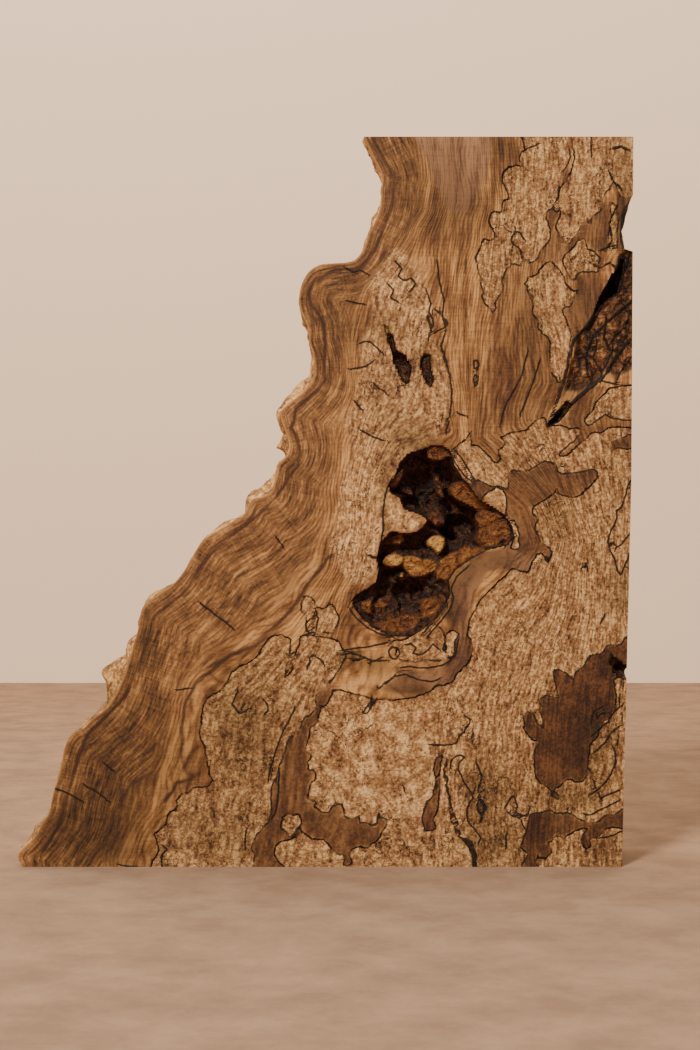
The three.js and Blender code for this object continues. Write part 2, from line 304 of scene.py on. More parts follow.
# Sounder pieces of wood left standing in the pocket: outline, depth of their tops in mm, how light
pocket_parts = {
    "knob": ([
        (426, 541), (432, 536), (440, 535), (446, 538), (446, 545), (443, 551), (439, 555), (434, 550),
        (428, 546),
    ], 4, 0.95),
    "gold_ledge": ([
        (382, 562), (386, 556), (395, 553), (402, 556), (406, 560), (400, 566), (392, 568), (385, 566),
    ], 4, 0.9),
    "gold_shelf": ([
        (404, 556), (412, 555), (420, 558), (432, 560), (439, 564), (434, 572), (424, 577), (414, 578),
        (406, 572), (402, 566),
    ], 6.5, 0.62),
    "right_lobe": ([
        (478, 512), (490, 510), (501, 515), (509, 526), (509, 537), (500, 543), (488, 547), (480, 545),
        (476, 540), (479, 530), (476, 520),
    ], 5, 0.42),
    "upper_ledge": ([
        (455, 482), (462, 481), (470, 488), (478, 498), (490, 508), (478, 511), (468, 506), (458, 501),
        (451, 495), (450, 488),
    ], 7, 0.44),
    "lower_ledge": ([
        (440, 560), (455, 552), (470, 546), (485, 549), (486, 551), (470, 558), (455, 568), (447, 580),
        (437, 580), (436, 572), (440, 566),
    ], 4.5, 0.5),
    "left_wall": ([(396, 474), (404, 466), (405, 474), (399, 484), (393, 490), (389, 486)], 4, 0.36),
    "chip": ([(399, 578), (402, 572), (405, 574), (404, 580)], 5, 0.9),
    "top_lump": ([
        (426, 449), (434, 446), (444, 448), (450, 456), (444, 460), (434, 462), (427, 458),
    ], 3, 0.36),
    "upper_plate": ([(400, 484), (408, 484), (415, 492), (414, 497), (405, 494), (399, 489)], 10, 0.26),
    "upper_rib": ([(434, 478), (440, 476), (447, 496), (443, 501), (438, 493)], 13, 0.3),
    "middle_plate": ([(430, 512), (438, 509), (447, 516), (447, 526), (437, 527), (429, 521)], 9, 0.24),
    "small_lump": ([(392, 536), (402, 534), (406, 540), (400, 546), (392, 544)], 6, 0.45),
    "low_wall": ([(424, 600), (432, 597), (441, 599), (440, 609), (430, 618), (420, 616)], 8, 0.42),
    "low_facet": ([(360, 602), (372, 600), (372, 616), (364, 611)], 4, 0.58),
    "low_floor": ([
        (373, 600), (392, 595), (400, 604), (400, 616), (390, 622), (379, 619), (373, 611),
    ], 9, 0.21),
    "low_rim": ([
        (374, 623), (390, 621), (408, 614), (424, 617), (414, 629), (396, 634), (382, 630),
    ], 6, 0.36),
}
# Each hollow: its rim, places on its floor with their depths in mm, and how wide its wall is in mm
hollows = [
    (pocket_rim, pocket_floor, 1.6),
    (void_rim, [(620, 266, 9), (612, 285, 17), (606, 295, 14), (597, 312, 5)], 1.2),
    (lip_rim, [(564, 405, 4), (554, 421, 7)], 1),
    (pit_rim, [(613, 661, 4), (622, 672, 9)], 1),
    (hole_rim, [(386, 328, 2), (391, 342, 3), (401, 362, 8), (406, 378, 5)], 1),
    (slit_rim, [(425, 360, 3), (428, 380, 3.5)], 1),
]
sunk = np.zeros(count)
for rim, floor, wall in hollows:
    near = inside(rim, u, v)
    floor_depth, weights = 0, 0
    for fu, fv, fd in floor:
        weight = 1 / ((np.hypot(u - fu, v - fv) * step / mm) ** 3.2 + 1)
        floor_depth, weights = floor_depth + weight * fd, weights + weight
    floor_depth = floor_depth / weights
    floor_depth = floor_depth + 1.6 * lumps(u, v, 0, 9, 5) + 1.3 * lumps(u, v, 0, 4.5, 6)
    fall = 1 - np.exp(-np.maximum(near, 0) * step / mm / wall)
    if rim is pocket_rim:
        for outline, top, _ in pocket_parts.values():
            share = smooth(-1.2, 1.6, inside(outline, u, v))
            floor_depth = floor_depth + share * (top + 1.2 * lumps(u, v, 0, 5, 7) - floor_depth)
    sunk = np.where(near > 0, np.maximum(sunk, fall * np.maximum(floor_depth, 0.5) * mm), sunk)
depth = np.where(front, depth + sunk, np.maximum(depth, sunk * (gx >= 1)))
sunk = np.where(front, sunk, 0)

# Outlines read off the front view. Spalting split the wood into pale torn patches and brown ones:
# the brown ones lie in the pale, and the pale bits in the brown
pale_patches = {
    "flow": [
        (291, 640), (289, 638), (285, 636), (279, 635), (274, 635), (269, 638), (265, 643), (261, 650),
        (258, 655), (254, 659), (248, 663), (241, 666), (234, 670), (230, 675), (227, 683), (220, 691),
        (208, 697), (203, 706), (201, 720), (199, 734), (202, 742), (205, 747), (205, 753), (207, 760),
        (207, 764), (209, 768), (209, 775), (212, 779), (210, 785), (205, 787), (198, 787), (193, 788),
        (190, 791), (186, 793), (182, 794), (178, 798), (175, 799), (177, 803), (176, 810), (170, 811),
        (167, 815), (167, 820), (164, 826), (158, 830), (154, 834), (156, 840), (158, 846), (159, 851),
        (157, 855), (153, 859), (151, 864), (146, 890), (262, 890), (254, 867), (254, 853), (251, 850),
        (253, 841), (257, 834), (262, 828), (269, 822), (271, 815), (271, 795), (272, 785), (274, 781),
        (277, 775), (279, 768), (281, 762), (286, 748), (287, 742), (288, 737), (292, 737), (297, 735),
        (299, 731), (301, 725), (303, 719), (308, 716), (313, 713), (315, 709), (317, 705), (315, 700),
        (316, 695), (320, 691), (325, 690), (332, 680), (340, 668), (346, 655), (338, 641), (325, 637),
        (312, 636), (303, 634), (300, 638), (299, 644), (297, 649), (295, 655), (293, 661), (292, 668),
        (288, 677), (285, 678), (286, 668), (287, 663), (291, 660), (290, 650),
    ],
    "torn_tongue": [
        (521, 137), (523.5, 143), (524, 150), (521, 153), (519.5, 160), (523, 166), (516, 165), (508, 167),
        (503.5, 172), (502, 178), (503, 183), (506, 188), (508, 193), (509, 199), (503, 200), (502, 208),
        (502.5, 213), (499, 213), (495, 211), (491.5, 213), (489, 219), (490.5, 226), (494, 232),
        (495, 236), (492, 240), (487, 240), (484, 238), (481, 243), (479, 250), (475, 257), (477, 266),
        (480, 275), (481, 284), (483, 292), (482, 297), (485, 303), (489, 307), (492, 313), (496, 308),
        (494.5, 303), (498, 297), (500, 293), (503, 285), (502, 281), (504, 275), (506, 269), (510, 267),
        (512, 263), (516, 264), (520, 266), (523, 262), (522, 257), (521, 252), (523, 255), (525, 260),
        (529, 263), (535, 260), (539, 256), (541, 250), (545, 246), (548, 242), (550.5, 237), (550, 230),
        (548, 223), (545.5, 218), (545, 214), (547, 211), (551, 210), (553, 207), (555, 202), (558, 197),
        (558, 190), (560, 180), (562, 172), (567, 166), (570, 158), (569, 150), (567, 140), (563, 130),
        (521, 130),
    ],
    "torn_finger": [
        (570, 130), (572, 145), (574, 150), (574, 158), (573, 166), (569, 174), (565, 182), (560, 188),
        (558, 197), (559, 204), (561, 210), (560, 216), (557, 221), (556, 227), (558, 233), (561, 237),
        (564, 239), (563, 242), (566, 244), (570, 243), (572, 239), (576, 235), (579, 230), (581, 225),
        (584, 221), (587, 218), (588, 222), (590, 223), (592, 217), (595, 214), (600, 211), (601.5, 207),
        (602, 203), (604, 196), (606, 192), (610, 188), (613, 183), (616, 177), (618, 171), (622, 168),
        (624, 163), (623, 158), (640, 158), (640, 130),
    ],
    "finger_blob": [(558, 197), (555, 202), (553, 207), (556, 212), (559, 210), (560, 204)],
    "mottled_patch": [
        (562, 260), (565, 255), (569, 252), (572, 248), (577, 242), (581, 239), (584, 239), (586, 243),
        (588, 250), (590, 249), (595, 252), (600, 258), (597, 272), (592, 272), (585, 272), (582, 271),
        (577, 275), (577, 278), (573, 280), (570, 279), (567, 272), (564, 266),
    ],
    "hanging_patch": [
        (548, 262), (544, 264), (541, 268), (539, 270), (538, 274), (533, 276), (528, 277), (527, 281),
        (524, 284), (527, 286), (528, 292), (531, 299), (533, 306), (532, 312), (537, 319), (538.5, 321),
        (537, 324), (538, 329), (541, 330), (543, 334), (548, 338), (550, 342), (550, 350), (549.5, 360),
        (550, 367), (552, 374), (556, 377), (557, 382), (559, 383), (562, 381), (565, 377), (567, 370),
        (567, 362), (569, 352), (570, 343), (571, 335), (570, 330), (568, 325), (566, 319), (563, 313),
        (562, 310), (565, 308), (570, 306), (572, 302), (575, 298), (577, 295), (578, 290), (573, 291),
        (570, 288), (567, 285), (565, 282), (564, 277), (561, 272), (558, 268), (554, 264), (550, 261),
    ],
    "side_patch": [
        (608, 388), (606, 392), (600, 397), (595, 404), (592, 411), (586, 417), (584, 421), (587, 425),
        (592, 424), (596, 420), (602, 417), (605, 414), (612, 418), (622, 420), (640, 420), (640, 384),
        (620, 386),
    ],
    "below_flame": [
        (472, 430), (471, 445), (476, 445), (479, 447), (484, 451), (488, 455), (491, 459), (494, 462),
        (497, 463), (500, 458), (498, 450), (501, 448), (504, 446), (505, 442), (503, 440), (500, 438),
        (505, 435), (509, 433), (515, 432), (522, 431), (528, 430), (530, 427), (533, 423), (537, 419),
        (541, 418), (545, 417.5), (548, 426), (560, 425), (565, 427), (570, 429), (576, 427), (580, 429),
        (580, 434), (576, 439), (571, 443), (566, 447), (561, 451), (559, 455), (570, 462), (570, 500),
        (520, 505), (470, 487), (460, 476), (453, 463), (450, 451), (455, 447), (465, 440),
    ],
    "big_pale": [
        (556, 458), (563, 456), (567, 455), (572, 450), (577, 446), (582, 441), (587, 437), (590, 434),
        (594, 432), (600, 434), (608, 428), (612, 427), (620, 427), (640, 428), (640, 890), (262, 890),
        (262, 850), (290, 838), (300, 815), (288, 800), (290, 770), (298, 745), (308, 722), (318, 700),
        (326, 690), (340, 690), (358, 694), (372, 699), (395, 700), (415, 697), (430, 692), (437, 684),
        (480, 600), (520, 560), (540, 480),
    ],
    "speckled_patch": [
        (330, 602), (333, 606), (336, 610), (339, 617), (338, 623), (335, 629), (334, 633), (328, 634),
        (322, 632), (318, 636), (313, 635), (308, 632), (306, 626), (307, 621), (311, 618), (315, 615),
        (314, 609), (317, 606), (320, 608), (325, 609), (327, 606),
    ],
    "round_patch": [
        (303, 597), (306, 595), (311, 597), (315, 601), (315, 606), (313, 612), (309, 617), (304, 615),
        (301, 610), (301, 603),
    ],
}
brown_patches = {
    "flow_brown": [
        (325, 690), (320, 691), (316, 695), (315, 700), (317, 705), (315, 709), (313, 713), (308, 716),
        (303, 719), (301, 725), (299, 731), (297, 735), (292, 737), (288, 737), (287, 742), (286, 748),
        (281, 762), (279, 768), (277, 775), (274, 781), (272, 785), (271, 795), (271, 815), (269, 822),
        (262, 828), (257, 834), (253, 841), (251, 850), (254, 853), (254, 890), (284, 890), (284, 867),
        (280, 863), (275, 857), (274, 850), (276, 843), (277, 837), (288, 840), (296, 837), (301, 828),
        (304, 833), (309, 836), (313, 839), (318, 839), (323, 839), (327, 843), (330, 847), (334, 851),
        (337, 854), (343, 855), (345, 858), (343, 864), (347, 866), (352, 862), (350, 856), (351, 850),
        (355, 847), (362, 846), (363, 848), (368, 847), (372, 843), (379, 839), (382, 832), (386, 826),
        (387, 820), (381, 817), (380, 813), (378, 814), (377, 822), (375, 826), (370, 825), (366, 822),
        (360, 823), (358, 815), (354, 818), (348, 818), (344, 816), (344, 810), (341, 804), (336, 804),
        (332, 807), (330, 812), (323, 813), (318, 810), (314, 806), (316, 804), (315, 801), (310, 801),
        (307, 800), (308, 796), (309, 789), (311, 783), (315, 779), (315, 772), (313, 770), (308, 770),
        (308, 762), (311, 758), (311, 755), (308, 752), (305, 750), (307, 741), (309, 734), (310, 728),
        (316, 724), (318, 717), (320, 712), (320, 706), (326, 706), (328, 701), (332, 694), (332, 687),
        (330, 680),
    ],
    "pocket_brown": [
        (464, 482), (470, 484), (478, 479), (483, 482), (488, 485), (493, 487), (498, 486), (503, 488),
        (508, 489), (509, 485), (508, 480), (508, 475), (511, 471), (517, 470), (521, 472), (527, 472),
        (531, 469), (535, 467), (538, 465), (541, 462), (545, 461), (551, 462), (555, 465), (557, 470),
        (560, 474), (570, 473), (580, 472), (588, 470), (592, 468), (597, 471), (598, 476), (594, 481),
        (590, 486), (585, 490), (580, 496), (572, 497), (562, 495), (558, 493), (557, 489), (554, 493),
        (545, 500), (530, 508), (532, 513), (536, 517), (538, 520), (536, 524), (535, 528), (537, 533),
        (540, 538), (540, 542), (545, 545), (549, 548), (552, 552), (551, 557), (548, 562), (546, 566),
        (545, 563), (545, 557), (541, 553), (537, 554), (533, 560), (530, 567), (527, 573), (521, 571),
        (514, 569), (509, 567), (504, 564), (501, 562), (497, 564), (494, 567), (489, 568), (486, 569),
        (484, 573), (482, 580), (481, 584), (478, 585), (474, 588), (474, 592), (473, 597), (472, 603),
        (471, 610), (471, 617), (469, 622), (468, 630), (467, 636), (471, 640), (473, 648), (471, 656),
        (468, 663), (464, 667), (461, 671), (457, 673), (455, 677), (453, 682), (448, 684), (443, 685),
        (437, 686), (441, 679), (438, 677), (434, 680), (431, 683), (427, 684), (424, 683), (421, 680),
        (414, 681), (410, 679), (405, 677), (400, 677), (393, 670), (394, 663), (400, 669), (408, 671),
        (417, 670), (425, 670), (433, 669), (440, 668), (446, 665), (451, 661), (453, 658), (455, 650),
        (455, 643), (456, 639), (460, 636), (452, 626), (444, 617), (449, 608), (452, 604), (452, 597),
        (453, 588), (455, 580), (460, 575), (466, 566), (470, 560), (478, 549), (486, 551), (492, 550),
        (500, 548), (508, 545), (512, 540), (512, 533), (510, 526), (507, 520), (502, 515), (497, 510),
        (491, 506), (483, 502), (477, 498), (474, 494), (470, 488),
    ],
    "corner_brown": [
        (640, 635), (628, 635), (624, 639), (622, 644), (617, 646), (611, 645), (607, 646), (604, 650),
        (600, 654), (596, 655), (591, 654), (589, 657), (586, 662), (584, 666), (580, 669), (576, 672),
        (573, 679), (568, 675), (562, 671), (558, 669), (554, 669), (553, 673), (554, 680), (556, 687),
        (558, 695), (558, 698), (553, 697), (546, 695), (541, 697), (539, 701), (541, 706), (539, 710),
        (541, 716), (543, 722), (545, 727), (542, 728), (538, 724), (535, 719), (533, 713), (530, 711),
        (526, 712), (523, 716), (524, 722), (525, 726), (523, 727), (526, 732), (529, 736), (531, 740),
        (538, 740), (540, 743), (538, 745), (535, 749), (534, 755), (534, 765), (535, 773), (537, 779),
        (540, 783), (545, 785), (549, 789), (551, 792), (552, 796), (556, 800), (559, 798), (557, 794),
        (553, 790), (554, 788), (558, 789), (560, 786), (562, 783), (564, 781), (567, 779), (572, 779),
        (576, 782), (580, 782), (583, 781), (585, 777), (588, 774), (590, 772), (588, 768), (588, 760),
        (589, 752), (590, 746), (592, 742), (596, 739), (598, 736), (598, 732), (601, 728), (603, 723),
        (605, 719), (610, 718), (613, 714), (615, 710), (616, 704), (616, 695), (615, 685), (613, 678),
        (640, 678),
    ],
    "base_brown": [
        (531, 806), (530, 812), (532, 814), (537, 812), (541, 813), (545, 811), (550, 810), (554, 812),
        (560, 814), (566, 812), (574, 815), (578, 818), (583, 821), (590, 823), (597, 822), (602, 818),
        (606, 815), (612, 815), (617, 813), (622, 809), (640, 806), (640, 829), (622, 829), (618, 828),
        (613, 827), (606, 828), (603, 830), (601, 836), (597, 838), (588, 838), (590, 842), (590, 846),
        (587, 849), (583, 846), (581, 841), (583, 835), (586, 831), (587, 829), (582, 828), (577, 830),
        (573, 833), (567, 835), (564, 839), (561, 836), (555, 835), (552, 840), (548, 843), (550, 848),
        (552, 852), (548, 855), (545, 860), (541, 858), (537, 855), (536, 860), (537, 890), (521, 890),
        (523, 862), (526, 857), (528, 854), (524, 851), (520, 847), (524, 838), (527, 828), (529, 820),
    ],
    "brown_drop": [
        (430, 745), (434, 748), (437, 750), (439, 756), (436, 759), (434, 766), (434, 774), (436, 780),
        (435, 788), (433, 791), (434, 795), (430, 799), (427, 801), (425, 807), (423, 813), (422, 820),
        (423, 825), (425, 828), (424, 831), (428, 831), (433, 830), (436, 828), (435, 823), (433, 819),
        (436, 815), (438, 808), (439, 798), (440, 788), (439, 778), (440, 770), (441, 762), (443, 757),
        (441, 753),
    ],
    "wedge": [
        (612, 442), (620, 440), (627, 435), (640, 434), (640, 446), (625, 449), (618, 447), (613, 450),
    ],
}
pale_bits = {
    "edge_torn": [
        (612, 168), (620, 158), (633, 154), (640, 170), (636, 196), (628, 198), (620, 196), (615, 184),
    ],
    "notch_torn": [(610, 202), (617, 206), (618, 222), (617, 248), (610, 250), (608, 234), (611, 218)],
    "edge_strip": [(617, 684), (626, 682), (630, 700), (628, 742), (618, 745), (616, 724), (619, 704)],
    "flow_patch": [
        (282, 818), (287, 814), (290, 814), (294, 816), (296, 812), (299, 815), (302, 821), (300, 826),
        (297, 828), (294, 834), (293, 839), (288, 835), (285, 830), (281, 828), (281, 823), (284, 819),
    ],
    "pocket_sliver": [
        (510, 521), (514, 520), (517, 526), (519, 534), (519, 542), (520, 548), (517, 550), (511, 548),
        (513, 541), (514, 537), (511, 530),
    ],
    "pillar": [
        (447, 633), (451, 631), (456, 631), (459, 634), (457, 638), (455, 641), (455, 647), (454, 653),
        (453, 658), (448, 656), (446, 651), (446, 644), (445, 638),
    ],
    "under_rim": [
        (405, 639), (415, 634), (425, 627), (433, 623), (440, 628), (443, 632), (445, 640), (443, 650),
        (450, 655), (446, 661), (430, 660), (415, 662), (400, 660), (395, 655), (398, 648), (388, 646),
        (393, 641),
    ],
    "strip_patch": [
        (480, 507), (482, 498), (488, 492), (496, 487), (501, 489), (505, 493), (506, 497), (507, 505),
        (506, 512), (509, 518), (500, 513), (488, 506),
    ],
}
# Darker parts of the heartwood between the patches, and the bark that grew into the seam
brown_heart = {
    "flow_band": [
        (508, 545), (530, 558), (545, 572), (522, 582), (505, 568), (488, 572), (476, 590), (470, 615),
        (466, 640), (470, 660), (462, 680), (440, 692), (400, 694), (380, 690), (400, 672), (440, 668),
        (456, 655), (458, 635), (452, 610), (456, 580), (470, 562), (490, 552),
    ],
    "flame_brown": [
        (520, 270), (504, 275), (503, 285), (498, 297), (496, 308), (492, 313), (493, 320), (489, 329),
        (486, 338), (483, 345), (485, 350), (484, 358), (482, 365), (480.5, 380), (480, 390), (479, 400),
        (476, 412), (473, 420), (472, 430), (471, 445), (476, 445), (479, 447), (484, 451), (488, 455),
        (491, 459), (494, 462), (497, 463), (500, 458), (498, 450), (501, 448), (504, 446), (505, 442),
        (503, 440), (500, 438), (505, 435), (509, 433), (515, 432), (522, 431), (528, 430), (530, 427),
        (533, 423), (537, 419), (541, 418), (545, 417.5), (560, 400), (575, 380), (560, 385), (550, 370),
        (548, 345), (538, 330), (531, 300),
    ],
    "upper_brown": [
        (563, 166), (560, 180), (558, 190), (555, 202), (547, 211), (545, 214), (550, 230), (550, 237),
        (541, 250), (535, 262), (548, 266), (562, 262), (572, 250), (584, 239), (592, 250), (604, 252),
        (607, 240), (610, 225), (610, 205), (603, 200), (592, 217), (584, 221), (576, 235), (566, 244),
        (556, 227), (560, 216), (558, 200), (570, 175),
    ],
    "right_brown": [
        (577, 275), (590, 272), (597, 272), (603, 285), (602, 298), (594, 312), (588, 325), (580, 331),
        (576, 345), (571, 352), (572, 335), (566, 319), (562, 310), (572, 303), (578, 292), (575, 282),
    ],
    "diagonal_brown": [
        (606, 386), (590, 385), (580, 395), (572, 408), (560, 421), (549, 424), (560, 425), (570, 429),
        (580, 430), (572, 445), (559, 455), (563, 458), (577, 446), (590, 434), (600, 434), (608, 428),
        (600, 425), (590, 426), (584, 421), (592, 411), (600, 397),
    ],
    "bark": [
        (605, 303), (600, 307), (596, 311), (594, 317), (591, 322), (588, 327), (584, 330), (580, 331),
        (578, 335), (577, 342), (576, 350), (574, 356), (571, 363), (570, 370), (568, 376), (567, 383),
        (566, 390), (578, 392), (592, 385), (600, 378), (606, 372), (620, 376), (640, 365), (640, 250),
        (626, 250), (618, 258), (617, 280), (608, 296),
    ],
}
# The pale torn column that runs down to the pocket
centre_pale = [
    (380, 240), (365, 268), (368, 290), (372, 320), (358, 343), (359, 357), (361, 366), (356, 371),
    (355, 380), (357, 388), (353, 393), (354, 400), (352, 408), (346, 413), (345, 418), (343, 424),
    (344, 428), (350, 440), (352, 452), (350, 459), (347, 465), (343, 470), (344, 475), (341, 480),
    (339, 488), (338, 495), (337, 500), (335, 506), (333, 511), (337, 517), (334, 521), (336, 527),
    (332, 532), (329, 540), (327, 545), (331, 551), (333, 556), (340, 572), (350, 584), (368, 588),
    (376, 575), (377, 556), (381, 543), (391, 532), (405, 534), (418, 532), (424, 525), (423, 517),
    (410, 510), (401, 508), (400, 500), (389, 487), (396, 474), (400, 463), (408, 454), (424, 449),
    (440, 440), (447, 420), (450, 408), (452, 392), (450, 374), (445, 362), (441, 350), (430, 332),
    (436, 310), (425, 280), (405, 250),
]
# The greyish streak running down from the top
grey_streak = [
    (411, 130), (420, 148), (427, 158), (430, 168), (434, 178), (438, 187), (442, 195), (444, 202),
    (447, 208), (453, 212), (459, 214), (463, 213), (468, 211), (472, 203), (474, 195), (480, 186),
    (486, 178), (488, 165), (491, 150), (498, 130),
]
# Dark growth lines under the grown edge
growth_lines = {
    "top_line": [(366, 137), (370, 144), (378, 154), (383, 163), (388, 175)],
    "low_growth": [
        (268, 505), (258, 515), (243, 527), (222, 541), (208, 556), (195, 576), (183, 594), (164, 608),
        (152, 620), (148, 640), (138, 668), (124, 698), (104, 718), (88, 734), (80, 752), (72, 780),
        (66, 800), (58, 826), (44, 850),
    ],
    "growth_line": [
        (373, 130), (375, 143), (378, 150), (382, 157), (387, 164), (392, 170), (394, 177), (393, 187),
        (393, 197), (392, 205), (389, 215), (385, 223), (382, 231), (379, 240), (375, 250), (369, 258),
        (362, 267), (352, 269), (345, 269), (335, 270), (325, 275), (315, 281), (310, 290), (309, 298),
        (311, 304), (316, 310), (320, 317), (323, 325), (325, 338), (325, 350), (324, 372), (325, 380),
        (320, 387), (310, 397), (300, 405), (296, 410), (294, 420), (291, 428), (298, 440), (300, 455),
        (298, 465), (290, 475), (283, 487), (277, 495),
    ],
    "inner_growth": [
        (333, 555), (328, 558), (321, 568), (313, 578), (305, 588), (300, 598), (290, 611), (280, 622),
        (268, 632), (258, 643), (250, 648), (240, 652), (230, 655), (220, 663), (207, 674), (195, 685),
        (188, 697), (184, 707), (182, 725), (182, 740), (181, 755), (185, 770), (195, 778), (185, 781),
        (176, 783), (173, 790), (168, 797), (165, 800),
    ],
    "base_curve": [(125, 797), (127, 790), (132, 783), (138, 780), (146, 776)],
}
